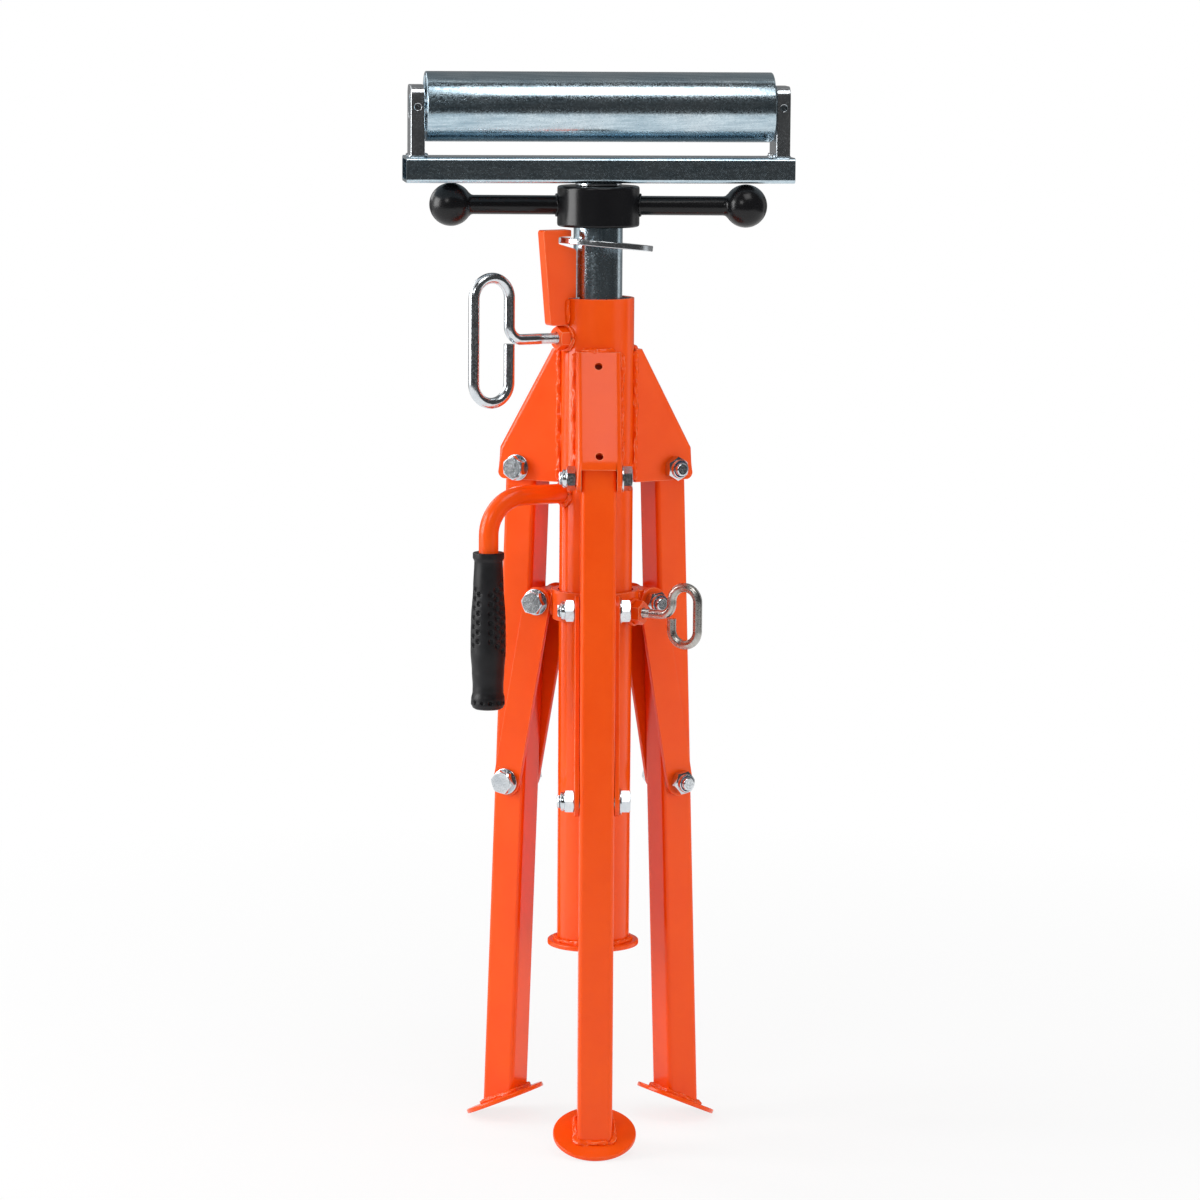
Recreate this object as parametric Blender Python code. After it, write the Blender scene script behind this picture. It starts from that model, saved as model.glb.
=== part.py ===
"""Folding pipe roller stand: tripod, sliding mast, handwheel lift screw and a roller head."""
import bpy
import bmesh
from math import asin, atan, ceil, cos, pi, radians, sin, sqrt, tan
from mathutils import Matrix, Vector

for old_object in list(bpy.data.objects):
    bpy.data.objects.remove(old_object, do_unlink=True)

MM = 0.001

# Clearances
SEAT_GAP = 0.3 * MM          # between faces that touch on the real stand
BOLT_PLAY = 0.4 * MM         # radial, round a bolt or a rod in its hole
SLIDE_PLAY = 0.5 * MM        # radial, round a turning or sliding tube

# Outer tube, its base and its guide
TUBE_RADIUS = 31.75 * MM
TUBE_WALL = 3.0 * MM
TUBE_BOTTOM = 171.0 * MM
TUBE_RISE = 150.0 * MM       # top above the leg pivots
BASE_RADIUS = 40.0 * MM
BASE_THICKNESS = 4.5 * MM
GUIDE_LENGTH = 24.0 * MM

# Mast
MAST_RADIUS = 21.2 * MM
MAST_WALL = 3.0 * MM
MAST_LENGTH = 510.0 * MM
MAST_RING_LENGTH = 18.0 * MM

# Legs, at rest in the folded place
LEG_WIDTH = 30.0 * MM
LEG_WALL = 2.5 * MM
LEG_CORNER = 4.0 * MM
LEG_HEAD = 12.0 * MM         # tube above the pivot
LEG_REST_LEAN = radians(2.05)
FOLD_ANGLE = radians(24.0)   # how far a leg opens
PIVOT_RADIUS = 67.5 * MM     # leg pivot from the mast axis
PIVOT_HEIGHT = 585.0 * MM
STRUT_BOLT_DROP = 278.5 * MM     # strut bolt below the leg pivot, along the leg
PAD_RADIUS = 36.0 * MM
PAD_THICKNESS = 4.0 * MM

# Struts and sliding collar
STRUT_LENGTH = 164.0 * MM    # between its bolts
STRUT_WIDTH = 26.0 * MM
STRUT_THICKNESS = 4.0 * MM
STRUT_PLAY = 6.6 * MM        # radial, round the strut's bolt in the leg
COLLAR_RADIUS = 37.5 * MM
COLLAR_WALL = 4.5 * MM
COLLAR_HEIGHT = 26.0 * MM
COLLAR_PIVOT_RADIUS = 48.0 * MM
LUG_HEIGHT = 22.0 * MM
LUG_EDGE = 8.2 * MM          # metal past the collar bolt's axis

# Leg brackets, bent from sheet
BRACKET_SHEET = 4.0 * MM
BRACKET_RISE = 105.0 * MM    # top above the leg pivot
BRACKET_SHOULDER_RISE = 17.0 * MM
BRACKET_SKIRT_RISE = 9.0 * MM    # lower edge of the web above the pivot
BRACKET_BEND = 5.0 * MM      # outside radius of the folds
BRACKET_DROP = 10.5 * MM     # cheek below the pivot
BRACKET_HOLE_RADIUS = 3.4 * MM
BRACKET_TOP_INSET = 13.0 * MM    # holes from the ends of the slope, along it
BRACKET_LOW_INSET = 4.2 * MM

# M12 bolts and lock nuts
BOLT_RADIUS = 6.0 * MM
BOLT_HEAD_FLAT = 9.2 * MM    # half the width across flats
BOLT_HEAD_HEIGHT = 7.5 * MM
WASHER_RADIUS = 11.5 * MM
WASHER_THICKNESS = 1.8 * MM
NUT_HEX_HEIGHT = 8.0 * MM
NUT_COLLAR_HEIGHT = 3.5 * MM
NUT_COLLAR_RADIUS = 8.2 * MM
BOLT_TAIL = 3.0 * MM

# Clamp screws, bent from round bar, and their welded nuts
CLAMP_NUT_FLAT = 9.2 * MM
CLAMP_NUT_HEIGHT = 10.0 * MM
UPPER_SCREW_RADIUS = 4.7 * MM
UPPER_SCREW_DROP = 34.0 * MM     # below the tube's top
UPPER_LOOP_IN = 88.5 * MM    # near side of the loop from the mast axis
UPPER_LOOP_WIDTH = 35.0 * MM
UPPER_LOOP_HEIGHT = 107.0 * MM
UPPER_ELBOW = 12.0 * MM
LOWER_SCREW_RADIUS = 4.0 * MM
LOWER_SCREW_DROP = 5.0 * MM  # below the collar bolts
LOWER_LOOP_IN = 75.0 * MM
LOWER_LOOP_WIDTH = 25.0 * MM
LOWER_LOOP_HEIGHT = 50.0 * MM
LOWER_ELBOW = 10.0 * MM

# Drop lock: hook plate on the tube and a tilted ring round the mast
HOOK_THICKNESS = 10.0 * MM
HOOK_RISE = 59.0 * MM        # top above the tube's top
HOOK_WELD = 23.0 * MM        # length along the tube
HOOK_TOP_REACH = 58.0 * MM
HOOK_BOTTOM_REACH = 50.0 * MM
HOOK_LIP = 5.8 * MM
HOOK_LIP_REACH = 30.0 * MM
HOOK_SLOT_REACH = 42.6 * MM
HOOK_MAST_GAP = 3.5 * MM
LOCK_RADIUS = 43.5 * MM
LOCK_OFFSET = 5.0 * MM
LOCK_THICKNESS = 5.0 * MM
LOCK_TILT = radians(6.0)
LOCK_HOLE_PLAY = 1.4 * MM
LOCK_SLOT_PLAY = 0.5 * MM

# Carry handle
HANDLE_RADIUS = 8.5 * MM
HANDLE_DROP = 19.0 * MM      # below the leg pivots
HANDLE_REACH = 105.0 * MM
HANDLE_BEND = 33.0 * MM
GRIP_DROP = 47.5 * MM        # below the handle's straight part
GRIP_LENGTH = 136.0 * MM
GRIP_FLANGE = 13.6 * MM
GRIP_NECK = 12.3 * MM
GRIP_BELLY = 15.2 * MM
GRIP_WAIST = 13.0 * MM
GRIP_END = 14.7 * MM
GRIP_NECK_DROP = 20.5 * MM   # lengths below the grip's top
GRIP_BELLY_DROP = 66.0 * MM
GRIP_BELLY_LENGTH = 16.0 * MM
GRIP_WAIST_DROP = 110.0 * MM

# Handwheel nut, on the mast's top
HUB_GAP = 2.0 * MM           # above the hook
HUB_HEIGHT = 35.0 * MM
HUB_RADIUS = 35.5 * MM
HUB_EDGE = 2.0 * MM
THRUST_WASHER = 2.0 * MM
ARM_RADIUS = 8.3 * MM
ARM_SOCKET = 7.5 * MM
ARM_LIFT = 18.2 * MM         # arms above the hub's foot
BALL_REACH = 127.0 * MM
BALL_RADIUS = 18.6 * MM

# Lift screw and the swivel pin of the head
LIFT_SCREW_RADIUS = 15.0 * MM
LIFT_SCREW_LENGTH = 190.0 * MM
FLANGE_RADIUS = 20.0 * MM
FLANGE_THICKNESS = 2.4 * MM
PIN_RADIUS = 10.0 * MM
PIN_LENGTH = 43.0 * MM
PIN_BORE_SPARE = 3.0 * MM

# Roller head
HEAD_YAW = radians(5.0)
BEAM_OVERHANG = 4.0 * MM     # past the ears
BEAM_DEPTH = 50.0 * MM
BEAM_HEIGHT = 22.0 * MM
BEAM_WALL = 2.5 * MM
BEAM_CORNER = 3.5 * MM
EAR_THICKNESS = 12.0 * MM
EAR_DEPTH = 40.0 * MM
EAR_CORNER = 9.0 * MM
EAR_ABOVE_AXLE = 18.5 * MM
ROLLER_LENGTH = 300.0 * MM
ROLLER_RADIUS = 30.0 * MM
ROLLER_WALL = 3.0 * MM
ROLLER_EDGE = 1.0 * MM
ROLLER_END_PLAY = 1.5 * MM   # between the roller and each ear
ROLLER_BEAM_GAP = 12.5 * MM
AXLE_RADIUS = 10.0 * MM
BEARING_RADIUS = 21.0 * MM
BEARING_WIDTH = 12.0 * MM
CAP_WIDTH = 14.0 * MM
GRUB_RADIUS = 2.75 * MM      # cross hole in each ear

# Facets
ROUND_FACETS = 34
SMALL_FACETS = 12
ROD_SIDES = 2                # bevel resolution of a bent rod
ARC_STEP = radians(22.5)     # largest turn between two points of an arc
FOLD_STEPS = 3

# Directions round the mast, seen from above, from +X
SECTORS = {"front": radians(-90.0), "left": radians(150.0), "right": radians(30.0)}
HOOK_DIRECTION = radians(-150.0)
HANDLE_DIRECTION = radians(-153.0)
LOWER_SCREW_DIRECTION = radians(-30.0)

# Worked out from the sizes above
TUBE_BORE = TUBE_RADIUS - TUBE_WALL
TUBE_TOP = PIVOT_HEIGHT + TUBE_RISE
BRACKET_TOP = PIVOT_HEIGHT + BRACKET_RISE
BRACKET_SHOULDER = PIVOT_HEIGHT + BRACKET_SHOULDER_RISE
BRACKET_SKIRT = PIVOT_HEIGHT + BRACKET_SKIRT_RISE
UPPER_SCREW_HEIGHT = TUBE_TOP - UPPER_SCREW_DROP
HOOK_TOP = TUBE_TOP + HOOK_RISE
HOOK_BOTTOM = TUBE_TOP - HOOK_WELD
HANDLE_HEIGHT = PIVOT_HEIGHT - HANDLE_DROP
GRIP_TOP = HANDLE_HEIGHT - GRIP_DROP
HUB_BOTTOM = HOOK_TOP + HUB_GAP
CHEEK_INSIDE = LEG_WIDTH / 2 + SEAT_GAP
CHEEK_OUTSIDE = CHEEK_INSIDE + BRACKET_SHEET
LEG_OPEN_LEAN = LEG_REST_LEAN + FOLD_ANGLE
PAD_REST_TILT = FOLD_ANGLE
STRUT_BOLT_RADIUS = PIVOT_RADIUS + STRUT_BOLT_DROP * sin(LEG_REST_LEAN)
STRUT_BOLT_HEIGHT = PIVOT_HEIGHT - STRUT_BOLT_DROP * cos(LEG_REST_LEAN)
STRUT_REST_ANGLE = asin((STRUT_BOLT_RADIUS - COLLAR_PIVOT_RADIUS) / STRUT_LENGTH)
COLLAR_PIVOT_HEIGHT = STRUT_BOLT_HEIGHT + STRUT_LENGTH * cos(STRUT_REST_ANGLE)
STRUT_INSIDE = LEG_WIDTH / 2 + SEAT_GAP
STRUT_OUTSIDE = STRUT_INSIDE + STRUT_THICKNESS
# The pad's outer edge touches the floor, which is height zero
PAD_CENTRE_HEIGHT = PAD_RADIUS * sin(PAD_REST_TILT) + PAD_THICKNESS / 2 * cos(PAD_REST_TILT)
LEG_REACH = (PIVOT_HEIGHT - PAD_CENTRE_HEIGHT) / cos(LEG_REST_LEAN)
PAD_CENTRE_RADIUS = PIVOT_RADIUS + LEG_REACH * sin(LEG_REST_LEAN)
SHOULDER_Z = HUB_BOTTOM + HUB_HEIGHT / 2
MAST_TOP = SHOULDER_Z - THRUST_WASHER - 2 * SEAT_GAP
MAST_BOTTOM = MAST_TOP - MAST_LENGTH
HUB_TOP = HUB_BOTTOM + HUB_HEIGHT
BEAM_BOTTOM = HUB_TOP + FLANGE_THICKNESS + 2 * SEAT_GAP
BEAM_TOP = BEAM_BOTTOM + BEAM_HEIGHT
AXLE_HEIGHT = BEAM_TOP + ROLLER_BEAM_GAP + ROLLER_RADIUS
EAR_INSIDE = ROLLER_LENGTH / 2 + ROLLER_END_PLAY
BEAM_HALF = EAR_INSIDE + EAR_THICKNESS + BEAM_OVERHANG
BRACKET_REACH = PIVOT_RADIUS + LEG_WIDTH / 2 + SLIDE_PLAY + BRACKET_SHEET


def pad_extent(direction_cosine):
    """Half the pad's width along a level line that leans so far from its outward line."""
    across = sin(PAD_REST_TILT) * direction_cosine
    return PAD_RADIUS * sqrt(1 - across ** 2)


FRONT_REACH = PAD_CENTRE_RADIUS + pad_extent(1.0) + PAD_THICKNESS / 2 * sin(PAD_REST_TILT)
REAR_COSINE = sin(SECTORS["left"])
REAR_REACH = (PAD_CENTRE_RADIUS + PAD_THICKNESS / 2 * sin(PAD_REST_TILT)) * REAR_COSINE + pad_extent(REAR_COSINE)
MAST_Y = (FRONT_REACH - REAR_REACH) / 2


def paint(name, colour, metallic, roughness):
    """A Principled material."""
    material = bpy.data.materials.new(name)
    material.use_nodes = True
    shader = material.node_tree.nodes["Principled BSDF"]
    shader.inputs["Base Color"].default_value = (*colour, 1.0)
    shader.inputs["Metallic"].default_value = metallic
    shader.inputs["Roughness"].default_value = roughness
    return material


ORANGE = paint("orange_powder_coat", (0.93, 0.12, 0.01), 0.0, 0.35)
ZINC = paint("zinc_plate", (0.62, 0.68, 0.72), 1.0, 0.3)
BLACK = paint("black_enamel", (0.012, 0.012, 0.012), 0.0, 0.3)
RUBBER = paint("black_rubber", (0.02, 0.02, 0.022), 0.0, 0.6)
STEEL = paint("bearing_steel", (0.45, 0.46, 0.48), 1.0, 0.25)


def frame(name, parent=None, location=(0, 0, 0), rotation=(0, 0, 0)):
    """An empty on a joint's axis or at a seat."""
    empty = bpy.data.objects.new(name, None)
    bpy.context.scene.collection.objects.link(empty)
    empty.parent = parent
    empty.location = location
    empty.rotation_euler = rotation
    return empty


def add(name, data, material, parent, location=(0, 0, 0), rotation=(0, 0, 0)):
    """Link an object of this mesh or curve under its parent empty."""
    data.materials.append(material)
    item = bpy.data.objects.new(name, data)
    bpy.context.scene.collection.objects.link(item)
    item.parent = parent
    item.location = location
    item.rotation_euler = rotation
    return item


def finish_mesh(name, mesh_data):
    """Close a bmesh into a mesh that is smooth on its round sides."""
    bmesh.ops.remove_doubles(mesh_data, verts=mesh_data.verts, dist=1e-6)
    bmesh.ops.recalc_face_normals(mesh_data, faces=mesh_data.faces)
    mesh = bpy.data.meshes.new(name)
    mesh_data.to_mesh(mesh)
    mesh_data.free()
    mesh.shade_smooth()
    mesh.set_sharp_from_angle(angle=radians(35.0))
    return mesh


def skin(name, loops, ring=False):
    """Bridge loops of equal count. A ring joins the last to the first, otherwise the ends are capped."""
    shape = bmesh.new()
    rows = [[shape.verts.new(point) for point in loop] for loop in loops]
    pairs = list(zip(rows, rows[1:]))
    if ring:
        pairs.append((rows[-1], rows[0]))
    else:
        shape.faces.new(rows[0])
        shape.faces.new(rows[-1])
    for low, high in pairs:
        for index in range(len(low)):
            after = (index + 1) % len(low)
            shape.faces.new((low[index], low[after], high[after], high[index]))
    return finish_mesh(name, shape)


def circle(radius, height, facets):
    """A level circle of points."""
    return [Vector((radius * cos(2 * pi * i / facets), radius * sin(2 * pi * i / facets), height)) for i in range(facets)]


def hexagon(half_flat, height, facets):
    """A level hexagon, with as many points as a circle of these facets."""
    points = []
    for i in range(facets):
        turn = 2 * pi * i / facets
        from_flat = turn % (pi / 3) - pi / 6
        radius = half_flat / cos(from_flat)
        points.append(Vector((radius * cos(turn), radius * sin(turn), height)))
    return points


def turned(name, profile, facets=ROUND_FACETS, ring=False):
    """A turned solid from (radius, height) pairs."""
    return skin(name, [circle(radius, height, facets) for radius, height in profile], ring)


def pipe(name, outside, inside, bottom, top, facets=ROUND_FACETS, edge=0.0):
    """A tube or ring with an optional chamfer on its outer edges."""
    profile = [(inside, bottom), (outside - edge, bottom), (outside - edge, top), (inside, top)]
    if edge > 0.0:
        profile = [(inside, bottom), (outside - edge, bottom), (outside, bottom + edge),
                   (outside, top - edge), (outside - edge, top), (inside, top)]
    return turned(name, profile, facets, ring=True)


def arc(centre, radius, start, end):
    """Points of an arc in a plane, ends included."""
    steps = max(2, ceil(abs(end - start) / ARC_STEP))
    turns = [start + (end - start) * i / steps for i in range(steps + 1)]
    return [(centre[0] + radius * cos(turn), centre[1] + radius * sin(turn)) for turn in turns]


def prism(name, outline, half_width, centre=0.0):
    """An outline in the upright plane of X and Z, as thick as twice the half width along Y."""
    loops = [[Vector((x, y, z)) for x, z in outline] for y in (centre - half_width, centre + half_width)]
    return skin(name, loops)


def rounded_box_loop(half_x, half_y, corner):
    """A rectangle with round corners, as (x, y) pairs."""
    points = []
    corners = ((1, 1, 0.0), (-1, 1, pi / 2), (-1, -1, pi), (1, -1, 3 * pi / 2))
    for side_x, side_y, start in corners:
        centre = (side_x * (half_x - corner), side_y * (half_y - corner))
        points += arc(centre, corner, start, start + pi / 2)
    return points


def stadium(length, half_width):
    """A flat bar's outline with round ends, from the origin down to minus its length."""
    return arc((0, 0), half_width, 0, pi) + arc((0, -length), half_width, pi, 2 * pi)


def cut(target, cutter_mesh, parent, location=(0, 0, 0), rotation=(0, 0, 0), operation="DIFFERENCE"):
    """Cut a hidden solid out of the target, or join it on."""
    cutter = bpy.data.objects.new("cutter_" + target.name, cutter_mesh)
    bpy.context.scene.collection.objects.link(cutter)
    cutter.parent = parent
    cutter.location = location
    cutter.rotation_euler = rotation
    cutter.hide_render = True
    cutter.display_type = "WIRE"
    modifier = target.modifiers.new("cut", "BOOLEAN")
    modifier.operation = operation
    modifier.solver = "EXACT"
    modifier.object = cutter


def weld_on(target, mesh, parent, location=(0, 0, 0), rotation=(0, 0, 0)):
    """Join a piece that is welded to the target."""
    cut(target, mesh, parent, location, rotation, "UNION")


def drill(target, radius, start, end, parent, location=(0, 0, 0), rotation=(0, 0, 0), facets=SMALL_FACETS):
    """Drill a round hole along the cutter's own Z."""
    cut(target, turned("drill", [(radius, start), (radius, end)], facets), parent, location, rotation)


def rod(name, points, radius, material, parent, location=(0, 0, 0), rotation=(0, 0, 0)):
    """A bent round bar along (x, z) points of an upright plane."""
    curve = bpy.data.curves.new(name, "CURVE")
    curve.dimensions = "3D"
    curve.bevel_depth = radius
    curve.bevel_resolution = ROD_SIDES
    curve.use_fill_caps = True
    spline = curve.splines.new("POLY")
    spline.points.add(len(points) - 1)
    for place, (x, z) in zip(spline.points, points):
        place.co = (x, 0, z, 1)
    return add(name, curve, material, parent, location, rotation)


ALONG_Y = (-pi / 2, 0, 0)    # turns a piece made along Z to lie along Y
ALONG_X = (0, pi / 2, 0)     # turns a piece made along Z to lie along X


def bolt_mesh(name, half_grip):
    """Hex bolt along Z with its washer, head up. The grip is centred on the origin."""
    seat = half_grip + SEAT_GAP
    head = seat + WASHER_THICKNESS
    top = head + BOLT_HEAD_HEIGHT
    tail = -(seat + NUT_HEX_HEIGHT + NUT_COLLAR_HEIGHT + BOLT_TAIL)
    chamfer = BOLT_RADIUS / 5
    loops = [circle(BOLT_RADIUS - chamfer, tail, SMALL_FACETS),
             circle(BOLT_RADIUS, tail + chamfer, SMALL_FACETS),
             circle(BOLT_RADIUS, seat, SMALL_FACETS),
             circle(WASHER_RADIUS, seat, SMALL_FACETS),
             circle(WASHER_RADIUS, head, SMALL_FACETS),
             hexagon(BOLT_HEAD_FLAT, head, SMALL_FACETS),
             hexagon(BOLT_HEAD_FLAT, top - chamfer, SMALL_FACETS),
             circle(BOLT_HEAD_FLAT - chamfer / 2, top, SMALL_FACETS)]
    return skin(name, loops)


def nut_loops(half_grip):
    """Lock nut along Z, on the lower side of a grip centred on the origin."""
    seat = -(half_grip + SEAT_GAP)
    hex_end = seat - NUT_HEX_HEIGHT
    end = hex_end - NUT_COLLAR_HEIGHT
    bore = BOLT_RADIUS + BOLT_PLAY
    return [circle(bore, seat, SMALL_FACETS),
            hexagon(BOLT_HEAD_FLAT, seat, SMALL_FACETS),
            hexagon(BOLT_HEAD_FLAT, hex_end, SMALL_FACETS),
            circle(NUT_COLLAR_RADIUS, hex_end, SMALL_FACETS),
            circle(NUT_COLLAR_RADIUS, end, SMALL_FACETS),
            circle(bore, end, SMALL_FACETS)]


def fasten(name, half_grip, parent, location):
    """A bolt and its lock nut across the parent's Y, with the head at positive Y."""
    add(name + "_bolt", bolt_mesh(name, half_grip), ZINC, parent, location, ALONG_Y)
    add(name + "_nut", skin(name, nut_loops(half_grip), ring=True), ZINC, parent, location, ALONG_Y)


def clamp_nut(name, radius, parent, location, rotation):
    """Hex nut with a plain bore, standing on a tube, its axis along Z."""
    bore = radius + BOLT_PLAY
    edge = CLAMP_NUT_FLAT
    loops = [circle(bore, 0, SMALL_FACETS), hexagon(edge, 0, SMALL_FACETS),
             hexagon(edge, CLAMP_NUT_HEIGHT, SMALL_FACETS), circle(bore, CLAMP_NUT_HEIGHT, SMALL_FACETS)]
    return add(name, skin(name, loops, ring=True), ORANGE, parent, location, rotation)


def loop_screw_points(tip, radius, loop_in, width, height, elbow):
    """A bar that leaves its thread, turns up and goes once round an oval loop, back to just under its elbow."""
    end_gap = sqrt((elbow + radius + SEAT_GAP) ** 2 - (elbow - radius) ** 2) - elbow
    bow = width / 2
    middle = loop_in + bow
    straight = height / 2 - bow
    points = [(tip, 0), (loop_in - elbow, 0)]
    points += arc((loop_in - elbow, elbow), elbow, -pi / 2, 0)[1:]
    points += arc((middle, straight), bow, pi, 0)
    points += arc((middle, -straight), bow, 0, -pi)
    points.append((loop_in, -end_gap))
    return points


stand = frame("stand", location=(0, MAST_Y, 0))
sectors = {name: frame("sector_" + name, stand, rotation=(0, 0, turn)) for name, turn in SECTORS.items()}
hook_plane = frame("hook_plane", stand, rotation=(0, 0, HOOK_DIRECTION))
handle_plane = frame("handle_plane", stand, rotation=(0, 0, HANDLE_DIRECTION))


def build_tube():
    """Outer tube, base disc and the guide bush for the mast."""
    tube = add("outer_tube", pipe("outer_tube", TUBE_RADIUS, TUBE_BORE, TUBE_BOTTOM, TUBE_TOP), ORANGE, stand)
    drill(tube, UPPER_SCREW_RADIUS + BOLT_PLAY, 0, TUBE_RADIUS * 2, hook_plane,
          (0, 0, UPPER_SCREW_HEIGHT), ALONG_X)
    base_top = TUBE_BOTTOM - SEAT_GAP
    edge = BASE_THICKNESS / 6
    base = turned("base_disc", [(BASE_RADIUS - edge, base_top - BASE_THICKNESS),
                                (BASE_RADIUS, base_top - BASE_THICKNESS + edge),
                                (BASE_RADIUS, base_top - edge), (BASE_RADIUS - edge, base_top)])
    add("base_disc", base, ORANGE, stand)
    bush = pipe("guide_bush", TUBE_BORE - SEAT_GAP, MAST_RADIUS + SLIDE_PLAY, TUBE_TOP - GUIDE_LENGTH, TUBE_TOP)
    add("guide_bush", bush, BLACK, stand)


def round_folds(mesh, fold_line):
    """Round the edges of a folded sheet that run along these points, on both sides."""
    shape = bmesh.new()
    shape.from_mesh(mesh)
    folds = [edge for edge in shape.edges if on_line(edge, fold_line)]
    bmesh.ops.bevel(shape, geom=folds, offset=BRACKET_BEND, segments=FOLD_STEPS, affect="EDGES", profile=0.5)
    shape.to_mesh(mesh)
    shape.free()


def on_line(edge, fold_line):
    """True for an edge that joins two points of the line without crossing the sheet."""
    first, second = [Vector((vert.co.x, vert.co.z)) for vert in edge.verts]
    level = abs(edge.verts[0].co.y - edge.verts[1].co.y) < SEAT_GAP
    near = [min((Vector(point) - end).length for point in fold_line) for end in (first, second)]
    return level and max(near) < SEAT_GAP


def build_bracket(name, sector):
    """Leg bracket: two cheeks and a sloped web bent from one sheet, open below and against the tube."""
    tube_side = sqrt(TUBE_RADIUS ** 2 - CHEEK_INSIDE ** 2) + SEAT_GAP
    crown = TUBE_RADIUS + SEAT_GAP + BRACKET_SHEET
    bottom = PIVOT_HEIGHT - BRACKET_DROP
    slope = Vector((BRACKET_REACH - crown, BRACKET_SHOULDER - BRACKET_TOP)).normalized()
    inward = Vector((slope.y, -slope.x)) * BRACKET_SHEET
    outline = [(tube_side, bottom), (BRACKET_REACH - BRACKET_SHEET * 2, bottom),
               (BRACKET_REACH, PIVOT_HEIGHT + BRACKET_SHEET), (BRACKET_REACH, BRACKET_SHOULDER),
               (crown, BRACKET_TOP), (tube_side, BRACKET_TOP)]
    blank = prism(name, outline, CHEEK_OUTSIDE)
    round_folds(blank, outline[2:5])
    bracket = add(name, blank, ORANGE, sector)
    inner_web = BRACKET_REACH - BRACKET_SHEET
    inner_crown = TUBE_RADIUS + SEAT_GAP
    over = BRACKET_SHEET * 2
    fall = slope.y / slope.x
    shoulder = BRACKET_SHOULDER + inward.y + (inner_web - BRACKET_REACH - inward.x) * fall
    crown_z = BRACKET_TOP + inward.y + (inner_crown - crown - inward.x) * fall
    hollow = [(0, bottom - over), (inner_web, bottom - over), (inner_web, shoulder),
              (inner_crown, crown_z), (inner_crown, BRACKET_TOP + over), (0, BRACKET_TOP + over)]
    cut(bracket, prism("hollow", hollow, CHEEK_INSIDE), sector)
    # Below the web the front is open for the leg
    window = [(inner_web - over, bottom - over), (BRACKET_REACH + over, bottom - over),
              (BRACKET_REACH + over, BRACKET_SKIRT), (inner_web - over, BRACKET_SKIRT)]
    cut(bracket, prism("window", window, CHEEK_INSIDE), sector)
    bore = BOLT_RADIUS + BOLT_PLAY
    drill(bracket, bore, -CHEEK_OUTSIDE * 2, CHEEK_OUTSIDE * 2, sector, (PIVOT_RADIUS, 0, PIVOT_HEIGHT), ALONG_Y)
    web_tilt = atan((BRACKET_REACH - crown) / (BRACKET_TOP - BRACKET_SHOULDER))
    for end, along in (((crown, BRACKET_TOP), BRACKET_TOP_INSET),
                       ((BRACKET_REACH, BRACKET_SHOULDER), -BRACKET_LOW_INSET)):
        x, z = Vector(end) + slope * along
        drill(bracket, BRACKET_HOLE_RADIUS, -over, over, sector, (x, 0, z), (0, pi / 2 - web_tilt, 0))


def build_leg(name, sector):
    """Square leg with its foot pad, on the pivot's axis."""
    pivot = frame("leg_axis_" + name, sector, (PIVOT_RADIUS, 0, PIVOT_HEIGHT), (0, -LEG_REST_LEAN, 0))
    half = LEG_WIDTH / 2
    mitre = tan(LEG_OPEN_LEAN)
    seat = (PAD_THICKNESS / 2 + SEAT_GAP) / cos(LEG_OPEN_LEAN)
    outer = rounded_box_loop(half, half, LEG_CORNER)
    inner = rounded_box_loop(half - LEG_WALL, half - LEG_WALL, LEG_CORNER - LEG_WALL)
    foot = -LEG_REACH + seat
    loops = [[Vector((x, y, foot - x * mitre)) for x, y in inner], [Vector((x, y, foot - x * mitre)) for x, y in outer],
             [Vector((x, y, LEG_HEAD)) for x, y in outer], [Vector((x, y, LEG_HEAD)) for x, y in inner]]
    leg = add("leg_tube_" + name, skin("leg_tube_" + name, loops, ring=True), ORANGE, pivot)
    drill(leg, BOLT_RADIUS + BOLT_PLAY, -LEG_WIDTH, LEG_WIDTH, pivot, (0, 0, 0), ALONG_Y)
    drill(leg, BOLT_RADIUS + STRUT_PLAY, -LEG_WIDTH, LEG_WIDTH, pivot, (0, 0, -STRUT_BOLT_DROP), ALONG_Y)
    edge = PAD_THICKNESS / 5
    half_pad = PAD_THICKNESS / 2
    pad = turned("foot_pad_" + name, [(PAD_RADIUS - edge, -half_pad), (PAD_RADIUS, edge - half_pad),
                                      (PAD_RADIUS, half_pad - edge), (PAD_RADIUS - edge, half_pad)])
    add("foot_pad_" + name, pad, ORANGE, pivot, (0, 0, -LEG_REACH), (0, LEG_OPEN_LEAN, 0))
    fasten("leg_pivot_" + name, CHEEK_OUTSIDE, sector, (PIVOT_RADIUS, 0, PIVOT_HEIGHT))


def build_strut(name, collar_sector):
    """Two flat bars on the collar bolt, with the bolt that joins them to the leg."""
    pivot = frame("strut_pivot_" + name, collar_sector, (COLLAR_PIVOT_RADIUS, 0, 0), (0, -STRUT_REST_ANGLE, 0))
    outline = stadium(STRUT_LENGTH, STRUT_WIDTH / 2)
    middle = (STRUT_INSIDE + STRUT_OUTSIDE) / 2
    reach = STRUT_OUTSIDE * 2
    for number, side in ((1, -1), (2, 1)):
        bar_name = f"strut_bar_{name}_{number}"
        bar = add(bar_name, prism(bar_name, outline, STRUT_THICKNESS / 2, side * middle), ORANGE, pivot)
        for height in (0, -STRUT_LENGTH):
            drill(bar, BOLT_RADIUS + BOLT_PLAY, -reach, reach, pivot, (0, 0, height), ALONG_Y)
    fasten("strut_" + name, STRUT_OUTSIDE, pivot, (0, 0, -STRUT_LENGTH))


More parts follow.
